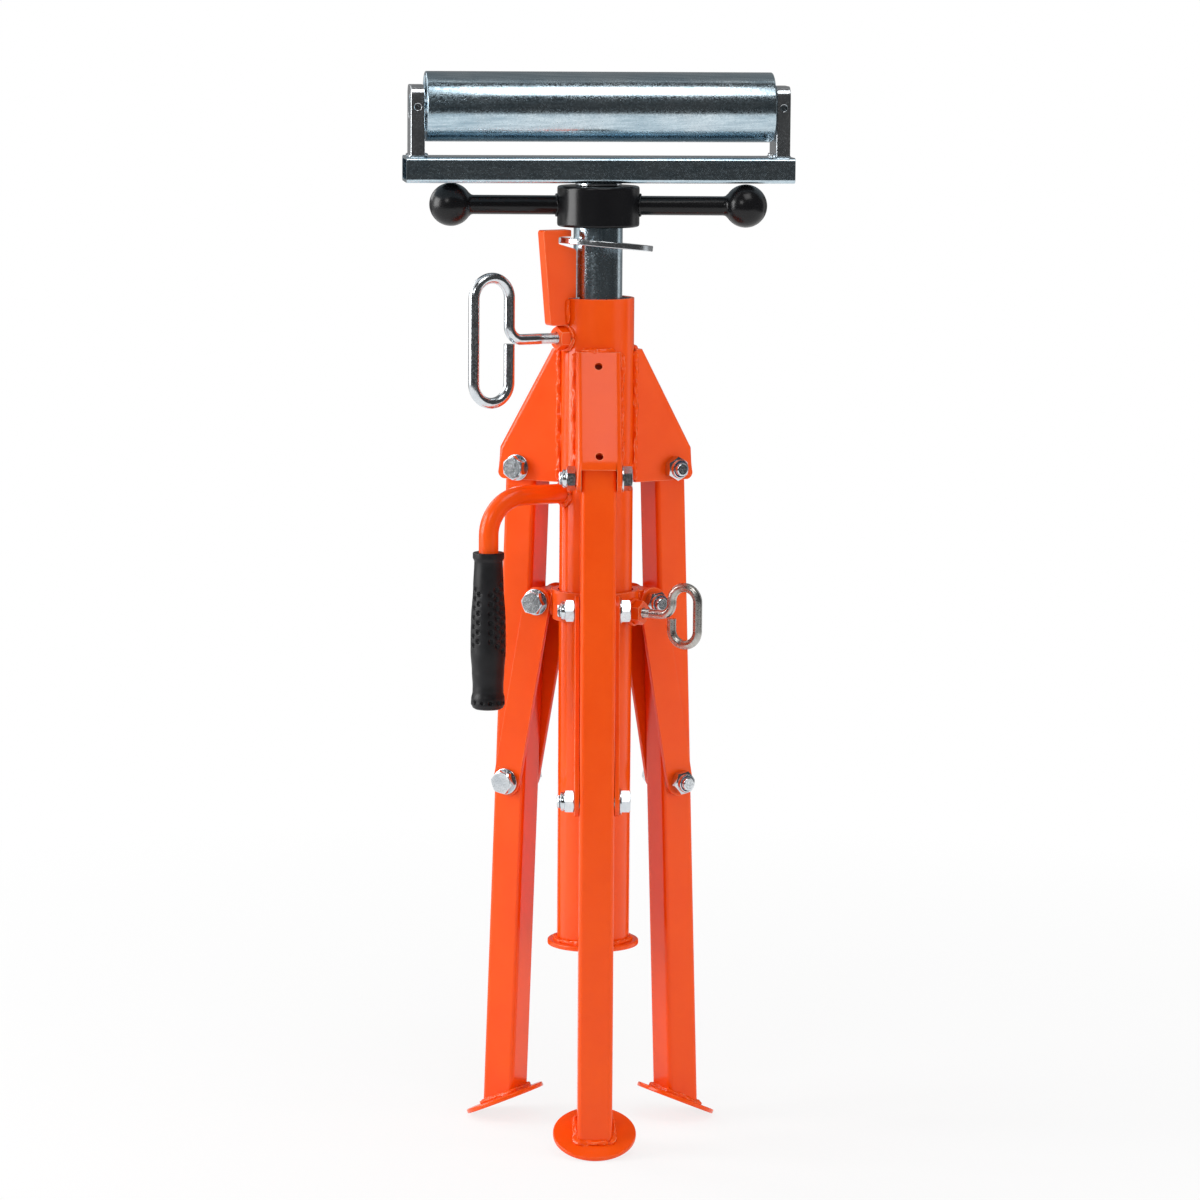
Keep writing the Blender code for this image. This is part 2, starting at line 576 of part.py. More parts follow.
def build_collar():
    """Sliding collar with three lugs, its clamp nut and its bolts. Height zero is at the bolts."""
    collar = frame("collar_slide", stand, (0, 0, COLLAR_PIVOT_HEIGHT))
    half = COLLAR_HEIGHT / 2
    ring = add("collar_ring", pipe("collar_ring", COLLAR_RADIUS, COLLAR_RADIUS - COLLAR_WALL, -half, half),
               ORANGE, collar)
    screw_plane = frame("lower_screw_plane", collar, rotation=(0, 0, LOWER_SCREW_DIRECTION))
    drill(ring, LOWER_SCREW_RADIUS + BOLT_PLAY, 0, COLLAR_RADIUS * 2, screw_plane,
          (0, 0, -LOWER_SCREW_DROP), ALONG_X)
    turns = {name: frame("collar_sector_" + name, collar, rotation=(0, 0, turn)) for name, turn in SECTORS.items()}
    lug_half = LUG_HEIGHT / 2
    lug_start = COLLAR_RADIUS - COLLAR_WALL / 2
    lug_end = COLLAR_PIVOT_RADIUS + LUG_EDGE
    corner = LUG_EDGE / 2
    outline = [(lug_start, -lug_half), (lug_end - corner, -lug_half), (lug_end, corner - lug_half),
               (lug_end, lug_half - corner), (lug_end - corner, lug_half), (lug_start, lug_half)]
    for name, turn in turns.items():
        weld_on(ring, prism("lug", outline, LEG_WIDTH / 2), turn)
        drill(ring, BOLT_RADIUS + BOLT_PLAY, -LEG_WIDTH, LEG_WIDTH, turn, (COLLAR_PIVOT_RADIUS, 0, 0), ALONG_Y)
        fasten("collar_" + name, STRUT_OUTSIDE, turn, (COLLAR_PIVOT_RADIUS, 0, 0))
        build_strut(name, turn)
    drill(ring, COLLAR_RADIUS - COLLAR_WALL, -COLLAR_HEIGHT, COLLAR_HEIGHT, collar, facets=ROUND_FACETS)
    nut_seat = (COLLAR_RADIUS + SEAT_GAP, 0, -LOWER_SCREW_DROP)
    clamp_nut("lower_clamp_nut", LOWER_SCREW_RADIUS, screw_plane, nut_seat, ALONG_X)
    points = loop_screw_points(TUBE_RADIUS + SEAT_GAP, LOWER_SCREW_RADIUS, LOWER_LOOP_IN, LOWER_LOOP_WIDTH,
                               LOWER_LOOP_HEIGHT, LOWER_ELBOW)
    rod("lower_clamp_screw", points, LOWER_SCREW_RADIUS, ZINC, screw_plane, (0, 0, -LOWER_SCREW_DROP))


def build_upper_clamp():
    """Clamp screw near the tube's top, which holds the mast."""
    seat = (TUBE_RADIUS + SEAT_GAP, 0, UPPER_SCREW_HEIGHT)
    clamp_nut("upper_clamp_nut", UPPER_SCREW_RADIUS, hook_plane, seat, ALONG_X)
    points = loop_screw_points(MAST_RADIUS + SEAT_GAP, UPPER_SCREW_RADIUS, UPPER_LOOP_IN, UPPER_LOOP_WIDTH,
                               UPPER_LOOP_HEIGHT, UPPER_ELBOW)
    rod("upper_clamp_screw", points, UPPER_SCREW_RADIUS, ZINC, hook_plane, (0, 0, UPPER_SCREW_HEIGHT))


def build_drop_lock():
    """Hook plate welded to the tube, and the tilted ring that grips the mast."""
    slot_top = HOOK_TOP - HOOK_LIP
    slot_half = LOCK_THICKNESS / 2 + LOCK_SLOT_PLAY
    slot_bottom = slot_top - 2 * slot_half
    inner = MAST_RADIUS + HOOK_MAST_GAP
    shoulder = TUBE_TOP + SEAT_GAP
    weld_line = TUBE_RADIUS + SEAT_GAP + HOOK_THICKNESS ** 2 / (8 * TUBE_RADIUS)
    outline = [(HOOK_TOP_REACH, HOOK_TOP), (HOOK_LIP_REACH, HOOK_TOP), (HOOK_LIP_REACH, slot_top),
               (HOOK_SLOT_REACH, slot_top), (HOOK_SLOT_REACH, slot_bottom), (inner, slot_bottom - LOCK_THICKNESS),
               (inner, shoulder), (weld_line, shoulder), (weld_line, HOOK_BOTTOM), (HOOK_BOTTOM_REACH, HOOK_BOTTOM)]
    add("hook_plate", prism("hook_plate", outline, HOOK_THICKNESS / 2), ORANGE, hook_plane)
    hinge_reach = LOCK_RADIUS - LOCK_OFFSET
    hinge = frame("lock_hinge", hook_plane, (hinge_reach, 0, slot_top - slot_half), (0, -LOCK_TILT, 0))
    half = LOCK_THICKNESS / 2
    edge = half / 4
    lock = turned("lock_ring", [(LOCK_RADIUS - edge, -half), (LOCK_RADIUS, edge - half), (LOCK_RADIUS, half - edge),
                                (LOCK_RADIUS - edge, half)])
    lock.transform(Matrix.Translation((-LOCK_RADIUS, 0, 0)))
    ring = add("lock_ring", lock, ZINC, hinge)
    drill(ring, MAST_RADIUS + LOCK_HOLE_PLAY, -LOCK_THICKNESS, LOCK_THICKNESS, hinge,
          (-hinge_reach / cos(LOCK_TILT), 0, 0), facets=ROUND_FACETS)


def build_handle():
    """Bent carry handle with its rubber grip."""
    bend = HANDLE_REACH - HANDLE_BEND
    points = [(TUBE_RADIUS + SEAT_GAP, HANDLE_HEIGHT), (bend, HANDLE_HEIGHT)]
    points += arc((bend, HANDLE_HEIGHT - HANDLE_BEND), HANDLE_BEND, pi / 2, 0)[1:]
    grip_bottom = GRIP_TOP - GRIP_LENGTH
    wall = GRIP_END / 4
    points.append((HANDLE_REACH, grip_bottom + wall + SEAT_GAP))
    rod("carry_handle", points, HANDLE_RADIUS, ORANGE, handle_plane)
    bore = HANDLE_RADIUS + BOLT_PLAY
    profile = [(bore, grip_bottom + wall), (bore, GRIP_TOP), (GRIP_FLANGE - wall / 4, GRIP_TOP),
               (GRIP_FLANGE, GRIP_TOP - wall / 2), (GRIP_NECK, GRIP_TOP - wall),
               (GRIP_NECK, GRIP_TOP - GRIP_NECK_DROP), (GRIP_BELLY, GRIP_TOP - GRIP_BELLY_DROP),
               (GRIP_BELLY, GRIP_TOP - GRIP_BELLY_DROP - GRIP_BELLY_LENGTH),
               (GRIP_WAIST, GRIP_TOP - GRIP_WAIST_DROP),
               (GRIP_WAIST, grip_bottom + wall * 3), (GRIP_END, grip_bottom + wall),
               (GRIP_END - wall / 2, grip_bottom)]
    grip = turned("handle_grip", profile, ROUND_FACETS // 2)
    add("handle_grip", grip, RUBBER, handle_plane, (HANDLE_REACH, 0, 0))


def build_mast():
    """Sliding mast, the ring at its foot and the washer under the handwheel nut."""
    add("mast_tube", pipe("mast_tube", MAST_RADIUS, MAST_RADIUS - MAST_WALL, MAST_BOTTOM, MAST_TOP), ZINC, stand)
    ring = pipe("mast_foot_ring", TUBE_BORE - SLIDE_PLAY, MAST_RADIUS + SEAT_GAP, MAST_BOTTOM,
                MAST_BOTTOM + MAST_RING_LENGTH, ROUND_FACETS)
    add("mast_foot_ring", ring, BLACK, stand)
    washer_bottom = MAST_TOP + SEAT_GAP
    washer = pipe("thrust_washer", MAST_RADIUS, LIFT_SCREW_RADIUS + SLIDE_PLAY, washer_bottom,
                  washer_bottom + THRUST_WASHER)
    add("thrust_washer", washer, STEEL, stand)


def build_handwheel():
    """Handwheel nut: hub, two arms and their balls."""
    wheel = frame("handwheel", stand)
    bore = LIFT_SCREW_RADIUS + SLIDE_PLAY
    counterbore = MAST_RADIUS + SLIDE_PLAY
    profile = [(counterbore, SHOULDER_Z), (counterbore, HUB_BOTTOM), (HUB_RADIUS - HUB_EDGE, HUB_BOTTOM),
               (HUB_RADIUS, HUB_BOTTOM + HUB_EDGE), (HUB_RADIUS, HUB_TOP - HUB_EDGE),
               (HUB_RADIUS - HUB_EDGE, HUB_TOP), (bore, HUB_TOP), (bore, SHOULDER_Z)]
    hub = add("handwheel_hub", turned("handwheel_hub", profile, ring=True), BLACK, wheel)
    arm_height = HUB_BOTTOM + ARM_LIFT
    arm_start = HUB_RADIUS - ARM_SOCKET
    for side, turn in (("right", 0.0), ("left", pi)):
        arm_line = frame("arm_" + side, wheel, (0, 0, arm_height), (0, 0, turn))
        drill(hub, ARM_RADIUS + SEAT_GAP, arm_start, HUB_RADIUS * 2, arm_line, (0, 0, 0), ALONG_X)
        join = asin(ARM_RADIUS / BALL_RADIUS)
        rings = ROUND_FACETS // 4
        poles = [join + (pi - join) * i / rings for i in range(rings)]
        profile = [(ARM_RADIUS, arm_start + SEAT_GAP)]
        profile += [(BALL_RADIUS * sin(pole), BALL_REACH - BALL_RADIUS * cos(pole)) for pole in poles]
        profile.append((SEAT_GAP, BALL_REACH + BALL_RADIUS))
        arm = turned("handwheel_arm_" + side, profile, ROUND_FACETS // 2)
        add("handwheel_arm_" + side, arm, BLACK, arm_line, (0, 0, 0), ALONG_X)


def build_lift_screw():
    """Lift screw with its top flange and the bore for the head's pin."""
    top = HUB_TOP + SEAT_GAP + FLANGE_THICKNESS
    bore = PIN_RADIUS + SLIDE_PLAY
    bore_end = top - PIN_LENGTH - PIN_BORE_SPARE
    bottom = top - LIFT_SCREW_LENGTH
    edge = LIFT_SCREW_RADIUS / 8
    flange_bottom = HUB_TOP + SEAT_GAP
    profile = [(LIFT_SCREW_RADIUS - edge, bottom), (LIFT_SCREW_RADIUS, bottom + edge),
               (LIFT_SCREW_RADIUS, flange_bottom), (FLANGE_RADIUS, flange_bottom), (FLANGE_RADIUS, top), (bore, top),
               (bore, bore_end)]
    add("lift_screw", turned("lift_screw", profile), ZINC, stand)


def build_head():
    """Cradle beam, ears, swivel pin, axle and roller."""
    head = frame("head", stand, rotation=(0, 0, HEAD_YAW))
    outer = rounded_box_loop(BEAM_HEIGHT / 2, BEAM_DEPTH / 2, BEAM_CORNER)
    inner = rounded_box_loop(BEAM_HEIGHT / 2 - BEAM_WALL, BEAM_DEPTH / 2 - BEAM_WALL, BEAM_CORNER - BEAM_WALL)
    loops = [[Vector((x, y, end)) for x, y in loop] for loop, end in
             ((inner, -BEAM_HALF), (outer, -BEAM_HALF), (outer, BEAM_HALF), (inner, BEAM_HALF))]
    add("cradle_beam", skin("cradle_beam", loops, ring=True), ZINC, head,
        (0, 0, BEAM_BOTTOM + BEAM_HEIGHT / 2), ALONG_X)
    pin_top = BEAM_BOTTOM - SEAT_GAP
    add("swivel_pin", turned("swivel_pin", [(PIN_RADIUS, pin_top - PIN_LENGTH), (PIN_RADIUS, pin_top)],
                             ROUND_FACETS // 2), STEEL, head)
    roller = frame("roller_axis", head, (0, 0, AXLE_HEIGHT))
    build_ears(roller)
    axle_half = EAR_INSIDE + EAR_THICKNESS
    add("roller_axle", turned("roller_axle", [(AXLE_RADIUS, -axle_half), (AXLE_RADIUS, axle_half)],
                              ROUND_FACETS // 2), STEEL, roller, (0, 0, 0), ALONG_X)
    end = ROLLER_LENGTH / 2
    wall = ROLLER_RADIUS - ROLLER_WALL
    seat = BEARING_RADIUS + SEAT_GAP
    cap_outside = end - ROLLER_EDGE
    cap_inside = cap_outside - CAP_WIDTH
    half_profile = [(ROLLER_RADIUS, end - ROLLER_EDGE), (ROLLER_RADIUS - ROLLER_EDGE, end), (wall, end),
                    (wall, cap_outside), (seat, cap_outside), (seat, cap_inside), (wall, cap_inside)]
    profile = half_profile + [(radius, -along) for radius, along in reversed(half_profile)]
    add("roller_tube", turned("roller_tube", profile, ring=True), ZINC, roller, (0, 0, 0), ALONG_X)
    for side, sign in (("left", -1), ("right", 1)):
        middle = sign * (cap_inside + cap_outside) / 2
        bearing = pipe("roller_bearing_" + side, BEARING_RADIUS, AXLE_RADIUS + SEAT_GAP,
                       middle - BEARING_WIDTH / 2, middle + BEARING_WIDTH / 2, ROUND_FACETS // 2)
        add("roller_bearing_" + side, bearing, STEEL, roller, (0, 0, 0), ALONG_X)


def build_ears(roller):
    """Upright ears that hold the axle, each with a cross hole for its grub screw."""
    half = EAR_DEPTH / 2
    foot = BEAM_TOP + SEAT_GAP - AXLE_HEIGHT
    outline = [(half, foot)]
    outline += arc((half - EAR_CORNER, EAR_ABOVE_AXLE - EAR_CORNER), EAR_CORNER, 0, pi / 2)
    outline += arc((EAR_CORNER - half, EAR_ABOVE_AXLE - EAR_CORNER), EAR_CORNER, pi / 2, pi)
    outline.append((-half, foot))
    for side, sign in (("left", -1), ("right", 1)):
        middle = sign * (EAR_INSIDE + EAR_THICKNESS / 2)
        name = "end_ear_" + side
        ear = add(name, prism(name, outline, EAR_THICKNESS / 2), ZINC, roller, (middle, 0, 0), (0, 0, pi / 2))
        drill(ear, AXLE_RADIUS + SEAT_GAP, -EAR_THICKNESS, EAR_THICKNESS, roller, (middle, 0, 0), ALONG_X,
              ROUND_FACETS // 2)
        drill(ear, GRUB_RADIUS, -EAR_DEPTH, 0, roller, (middle, 0, 0), ALONG_Y)


build_tube()
for sector_name, sector_frame in sectors.items():
    build_bracket("bracket_" + sector_name, sector_frame)
    build_leg(sector_name, sector_frame)
build_collar()
build_upper_clamp()
build_drop_lock()
build_handle()
build_mast()
build_handwheel()
build_lift_screw()
build_head()
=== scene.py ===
import bpy
import bmesh
from math import asin, atan, ceil, cos, pi, radians, sin, sqrt, tan
from mathutils import Matrix, Vector, noise


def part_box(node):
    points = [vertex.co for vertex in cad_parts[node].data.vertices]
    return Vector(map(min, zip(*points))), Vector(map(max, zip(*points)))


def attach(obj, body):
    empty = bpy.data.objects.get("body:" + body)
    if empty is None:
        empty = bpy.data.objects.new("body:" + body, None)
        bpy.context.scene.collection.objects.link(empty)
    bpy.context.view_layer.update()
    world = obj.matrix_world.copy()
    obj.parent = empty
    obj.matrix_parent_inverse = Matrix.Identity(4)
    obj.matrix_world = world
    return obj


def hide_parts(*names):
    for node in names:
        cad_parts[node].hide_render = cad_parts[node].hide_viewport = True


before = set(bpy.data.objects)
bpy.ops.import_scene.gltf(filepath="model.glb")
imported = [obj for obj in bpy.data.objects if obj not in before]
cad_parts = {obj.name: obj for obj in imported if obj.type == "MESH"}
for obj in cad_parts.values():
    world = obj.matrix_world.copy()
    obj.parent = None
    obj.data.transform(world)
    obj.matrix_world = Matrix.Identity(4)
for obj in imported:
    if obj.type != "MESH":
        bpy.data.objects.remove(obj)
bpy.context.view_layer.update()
print("frame loaded:", len(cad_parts), "nodes")

mm = 0.001
seatGap = 0.3 * mm
core = 0.1 * mm    # radius at which a solid turned piece is closed
mastLow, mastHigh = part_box("mast_tube")
mastY = (mastLow.y + mastHigh.y) / 2

# directions round the mast, seen from above, from +X
sectors = {"front": radians(-90), "left": radians(150), "right": radians(30)}
hookDirection = radians(-150)
handleDirection = radians(-153)
lowerScrewDirection = radians(-30)
headYaw = radians(5)


def planeAt(direction, height=0.0, radius=0.0, tilt=0.0):
    # X points outward from the mast, Y round it, Z up
    turn = Matrix.Translation((0, mastY, 0)) @ Matrix.Rotation(direction, 4, "Z")
    return turn @ Matrix.Translation((radius, 0, height)) @ Matrix.Rotation(tilt, 4, "Y")


alongY = Matrix.Rotation(-pi / 2, 4, "X")    # a piece made along Z lies along Y
alongX = Matrix.Rotation(pi / 2, 4, "Y")     # a piece made along Z lies along X

# Shader node groups

def newGroup(name, inputs, outputs):
    tree = bpy.data.node_groups.new(name, "ShaderNodeTree")
    for label, value in inputs.items():
        kind = "NodeSocketVector" if isinstance(value, tuple) else "NodeSocketFloat"
        socket = tree.interface.new_socket(label, in_out="INPUT", socket_type=kind)
        socket.default_value = value
    for label in outputs:
        tree.interface.new_socket(label, in_out="OUTPUT", socket_type="NodeSocketFloat")
    return tree, tree.nodes.new("NodeGroupInput"), tree.nodes.new("NodeGroupOutput")


def feed(tree, socket, value):
    # a constant stays on the socket, an output is linked to it
    if isinstance(value, (int, float, tuple)):
        socket.default_value = value
    else:
        tree.links.new(value, socket)


def mathNode(tree, operation, *values, clamp=False):
    node = tree.nodes.new("ShaderNodeMath")
    node.operation = operation
    node.use_clamp = clamp
    for socket, value in zip(node.inputs, values):
        feed(tree, socket, value)
    return node.outputs[0]


def vectorNode(tree, operation, *values):
    node = tree.nodes.new("ShaderNodeVectorMath")
    node.operation = operation
    for socket, value in zip(node.inputs, values):
        feed(tree, socket, value)
    return node


def noiseNode(tree, vector, scale, detail=3.0, rough=0.55):
    node = tree.nodes.new("ShaderNodeTexNoise")
    for label, value in (("Vector", vector), ("Scale", scale), ("Detail", detail), ("Roughness", rough)):
        feed(tree, node.inputs[label], value)
    return node.outputs["Fac"]


def rangeNode(tree, value, low, high, toLow=0.0, toHigh=1.0):
    node = tree.nodes.new("ShaderNodeMapRange")
    labels = ("Value", "From Min", "From Max", "To Min", "To Max")
    for label, number in zip(labels, (value, low, high, toLow, toHigh)):
        feed(tree, node.inputs[label], number)
    return node.outputs["Result"]


def mixColour(tree, factor, first, second):
    node = tree.nodes.new("ShaderNodeMix")
    node.data_type = "RGBA"
    for index, value in ((0, factor), (6, first), (7, second)):
        feed(tree, node.inputs[index], value)
    return node.outputs[2]


def edgeHighlightGroup():
    # a mask for a painted highlight along edges: white where the rounded normal leaves the face's own, broken
    # up by noise
    tree, start, end = newGroup("paintedEdgeHighlight", {"Reach": 0.8 * mm, "Breakup": 60.0}, ["Mask"])
    coords = tree.nodes.new("ShaderNodeTexCoord")
    shape = tree.nodes.new("ShaderNodeNewGeometry")
    rounded = tree.nodes.new("ShaderNodeBevel")
    rounded.samples = 4
    tree.links.new(start.outputs["Reach"], rounded.inputs["Radius"])
    agree = vectorNode(tree, "DOT_PRODUCT", rounded.outputs["Normal"], shape.outputs["Normal"])
    bent = rangeNode(tree, agree.outputs["Value"], 0.98, 0.86)
    speck = noiseNode(tree, coords.outputs["Object"], start.outputs["Breakup"], 4.0)
    broken = mathNode(tree, "MULTIPLY", bent, rangeNode(tree, speck, 0.3, 0.65, 0.35, 1.25), clamp=True)
    tree.links.new(broken, end.inputs["Mask"])
    return tree


def orangePeelGroup():
    # height of sprayed or baked coating, with a slow mottle for colour
    tree, start, end = newGroup("orangePeel", {"Scale": 700.0, "Mottle Scale": 25.0}, ["Height", "Mottle"])
    coords = tree.nodes.new("ShaderNodeTexCoord")
    peel = noiseNode(tree, coords.outputs["Object"], start.outputs["Scale"], 2.0)
    tree.links.new(peel, end.inputs["Height"])
    mottle = noiseNode(tree, coords.outputs["Object"], start.outputs["Mottle Scale"], 5.0, 0.6)
    tree.links.new(rangeNode(tree, mottle, 0.3, 0.7), end.inputs["Mottle"])
    return tree


def spangleGroup():
    # zinc crystals and fine speckle, with drawn-out streaks along one axis
    tree, start, end = newGroup("spangle", {"Scale": 900.0, "Stretch": (1.0, 1.0, 1.0)},
                                ["Speckle", "Streak", "Cloud"])
    coords = tree.nodes.new("ShaderNodeTexCoord")
    cells = tree.nodes.new("ShaderNodeTexVoronoi")
    tree.links.new(coords.outputs["Object"], cells.inputs["Vector"])
    tree.links.new(start.outputs["Scale"], cells.inputs["Scale"])
    split = tree.nodes.new("ShaderNodeSeparateColor")
    tree.links.new(cells.outputs["Color"], split.inputs["Color"])
    tree.links.new(split.outputs[0], end.inputs["Speckle"])
    drawn = vectorNode(tree, "MULTIPLY", coords.outputs["Object"], start.outputs["Stretch"])
    streak = noiseNode(tree, drawn.outputs[0], 1.0, 4.0, 0.6)
    tree.links.new(rangeNode(tree, streak, 0.35, 0.65), end.inputs["Streak"])
    cloud = noiseNode(tree, coords.outputs["Object"], 18.0, 4.0, 0.6)
    tree.links.new(rangeNode(tree, cloud, 0.35, 0.65), end.inputs["Cloud"])
    return tree


# the mask that lays a painted highlight along edges
paintedEdgeHighlight = edgeHighlightGroup()
orangePeel = orangePeelGroup()
spangle = spangleGroup()

# Materials


def newMaterial(name):
    material = bpy.data.materials.new(name)
    material.use_nodes = True
    tree = material.node_tree
    return material, tree, tree.nodes["Principled BSDF"]


def groupNode(tree, group, values):
    node = tree.nodes.new("ShaderNodeGroup")
    node.node_tree = group
    for label, value in values.items():
        node.inputs[label].default_value = value
    return node


def finishSurface(tree, shader, finish, shade, height):
    # roughness that follows the shade, and a fine relief
    rough = rangeNode(tree, shade, 0, 1, *finish["roughness"])
    tree.links.new(rough, shader.inputs["Roughness"])
    node = tree.nodes.new("ShaderNodeBump")
    node.inputs["Strength"].default_value = finish["bumpStrength"]
    node.inputs["Distance"].default_value = finish["bump"]
    tree.links.new(height, node.inputs["Height"])
    tree.links.new(node.outputs["Normal"], shader.inputs["Normal"])


# edge is the colour of a painted highlight along the coat's edges
coat = dict(colour=(0.90, 0.088, 0.002, 1), deep=(0.86, 0.074, 0.002, 1), edge=(1.0, 0.42, 0.2, 1),
            specular=0.32, roughness=(0.2, 0.26), peel={"Scale": 650.0, "Mottle Scale": 22.0},
            bump=0.12 * mm, bumpStrength=0.5, highlight={"Reach": 1.0 * mm, "Breakup": 45.0}, highlightShare=1.0)


def coatedMaterial(name, finish=coat):
    # a baked or moulded coat: peel, a slow mottle and a thin painted highlight along the edges
    material, tree, shader = newMaterial(name)
    peel = groupNode(tree, orangePeel, finish["peel"])
    base = mixColour(tree, peel.outputs["Mottle"], finish["deep"], finish["colour"])
    # painted highlight: the edges are mixed towards the pale edge colour
    if finish["highlightShare"]:
        highlight = groupNode(tree, paintedEdgeHighlight, finish["highlight"])
        share = mathNode(tree, "MULTIPLY", highlight.outputs["Mask"], finish["highlightShare"])
        base = mixColour(tree, share, base, finish["edge"])
    tree.links.new(base, shader.inputs["Base Color"])
    finishSurface(tree, shader, finish, peel.outputs["Mottle"], peel.outputs["Height"])
    shader.inputs["Specular IOR Level"].default_value = finish["specular"]
    return material


# bright is the colour of the cloudy patches and also of a painted highlight along the edges
plate = dict(colour=(0.58, 0.72, 0.80, 1), dark=(0.32, 0.44, 0.52, 1), bright=(0.84, 0.9, 0.93, 1),
             roughness=(0.12, 0.28), bump=0.06 * mm, bumpStrength=0.25, scale=850.0, cloud=0.45, speckle=0.3,
             highlight={"Reach": 0.6 * mm, "Breakup": 90.0}, highlightShare=0.6)


def platedMaterial(name, stretch, finish=plate):
    # zinc plate: speckle, streaks along the work, cloudy patches and a painted highlight along the edges
    material, tree, shader = newMaterial(name)
    grain = groupNode(tree, spangle, {"Scale": finish["scale"], "Stretch": stretch})
    highlight = groupNode(tree, paintedEdgeHighlight, finish["highlight"])
    layers = ((grain.outputs["Cloud"], finish["cloud"], finish["bright"]),
              (grain.outputs["Speckle"], finish["speckle"], finish["dark"]),
              # the last layer is a painted highlight along the edges
              (highlight.outputs["Mask"], finish["highlightShare"], finish["bright"]))
    base = mixColour(tree, grain.outputs["Streak"], finish["dark"], finish["colour"])
    for mask, share, colour in layers:
        base = mixColour(tree, mathNode(tree, "MULTIPLY", mask, share), base, colour)
    tree.links.new(base, shader.inputs["Base Color"])
    shader.inputs["Metallic"].default_value = 1.0
    finishSurface(tree, shader, finish, grain.outputs["Speckle"], grain.outputs["Speckle"])
    return material


# every finish below except the grip's lays a painted highlight along its edges, in its edge or bright colour
weldFinish = dict(coat, roughness=(0.15, 0.24), peel={"Scale": 260.0, "Mottle Scale": 22.0}, bump=0.5 * mm)
boltFinish = dict(plate, dark=(0.58, 0.62, 0.66, 1), colour=(0.8, 0.82, 0.84, 1), roughness=(0.12, 0.26))
nickelFinish = dict(plate, dark=(0.40, 0.38, 0.35, 1), colour=(0.62, 0.60, 0.56, 1), roughness=(0.22, 0.38))
enamelFinish = dict(colour=(0.007, 0.007, 0.008, 1), deep=(0.007, 0.007, 0.008, 1),
                    edge=(0.03, 0.03, 0.03, 1),
                    specular=0.32, roughness=(0.2, 0.28), peel={"Scale": 500.0, "Mottle Scale": 30.0},
                    bump=0.1 * mm, bumpStrength=0.25, highlight={"Reach": 0.8 * mm, "Breakup": 60.0},
                    highlightShare=0.5)
gripFinish = dict(colour=(0.012, 0.012, 0.014, 1), deep=(0.006, 0.006, 0.007, 1), specular=0.28,
                  roughness=(0.36, 0.48), peel={"Scale": 1400.0, "Mottle Scale": 70.0},
                  bump=0.12 * mm, bumpStrength=0.3, highlightShare=0)
guideFinish = dict(coat, colour=(0.02, 0.02, 0.02, 1), deep=(0.015, 0.015, 0.015, 1),
                   edge=(0.05, 0.05, 0.05, 1), roughness=(0.45, 0.55))
nylonFinish = dict(coat, colour=(0.02, 0.035, 0.09, 1), deep=(0.012, 0.02, 0.06, 1),
                   edge=(0.05, 0.08, 0.16, 1), roughness=(0.35, 0.45))
orangeCoat = coatedMaterial("orangeCoat")
weldCoat = coatedMaterial("weldCoat", weldFinish)
zincAlongX = platedMaterial("zincRolled", (14.0, 420.0, 420.0))
zincAlongZ = platedMaterial("zincDrawn", (420.0, 420.0, 9.0))
zincBright = platedMaterial("zincBright", (60.0, 60.0, 60.0), boltFinish)
nickelDull = platedMaterial("nickelDull", (60.0, 60.0, 60.0), nickelFinish)
steelPlain = platedMaterial("steelPlain", (200.0, 200.0, 20.0), dict(plate, colour=(0.5, 0.5, 0.51, 1)))
blackEnamel = coatedMaterial("blackEnamel", enamelFinish)
gripRubber = coatedMaterial("gripRubber", gripFinish)
guidePlastic = coatedMaterial("guidePlastic", guideFinish)
nylonRing = coatedMaterial("nylonRing", nylonFinish)
print("materials made")

# Shape helpers


def closeMesh(name, shape, smoothAngle=35):
    bmesh.ops.remove_doubles(shape, verts=shape.verts, dist=1e-6)
    bmesh.ops.recalc_face_normals(shape, faces=shape.faces)
    mesh = bpy.data.meshes.new(name)
    shape.to_mesh(mesh)
    shape.free()
    mesh.shade_smooth()
    mesh.set_sharp_from_angle(angle=radians(smoothAngle))
    return mesh


def skin(name, loops, ring=False, smoothAngle=35):
    # bridge loops of equal count, then cap the ends or join them into a ring
    shape = bmesh.new()
    rows = [[shape.verts.new(point) for point in loop] for loop in loops]
    pairs = list(zip(rows, rows[1:]))
    if ring:
        pairs.append((rows[-1], rows[0]))
    else:
        shape.faces.new(rows[0])
        shape.faces.new(rows[-1])
    for low, high in pairs:
        for index in range(len(low)):
            after = (index + 1) % len(low)
            shape.faces.new((low[index], low[after], high[after], high[index]))
    return closeMesh(name, shape, smoothAngle)


def circleLoop(radius, height, facets=48):
    turns = [2 * pi * i / facets for i in range(facets)]
    return [Vector((radius * cos(turn), radius * sin(turn), height)) for turn in turns]


def lathe(name, profile, facets=96, ring=False):
    return skin(name, [circleLoop(radius, height, facets) for radius, height in profile], ring)


def roundCorners(points, radii, steps, share):
    # round each corner of an outline by its own radius, within a share of its sides
    rounded = []
    count = len(points)
    for index, radius in enumerate(radii):
        if radius == 0:
            rounded.append(points[index])
            continue
        here = Vector(points[index])
        before = Vector(points[index - 1]) - here
        after = Vector(points[(index + 1) % count]) - here
        reach = min(radius, before.length * share, after.length * share)
        first = here + before.normalized() * reach
        last = here + after.normalized() * reach
        for step in range(steps + 1):
            part = step / steps
            point = first.lerp(here, part).lerp(here.lerp(last, part), part)
            rounded.append((point.x, point.y))
    return rounded


def softCorners(profile, radius, ring=False, steps=3):
    # round a (radius, height) profile, but not the two ends of an open one
    radii = [radius] * len(profile)
    if not ring:
        radii[0] = radii[-1] = 0
    return roundCorners(profile, radii, steps, 0.45)


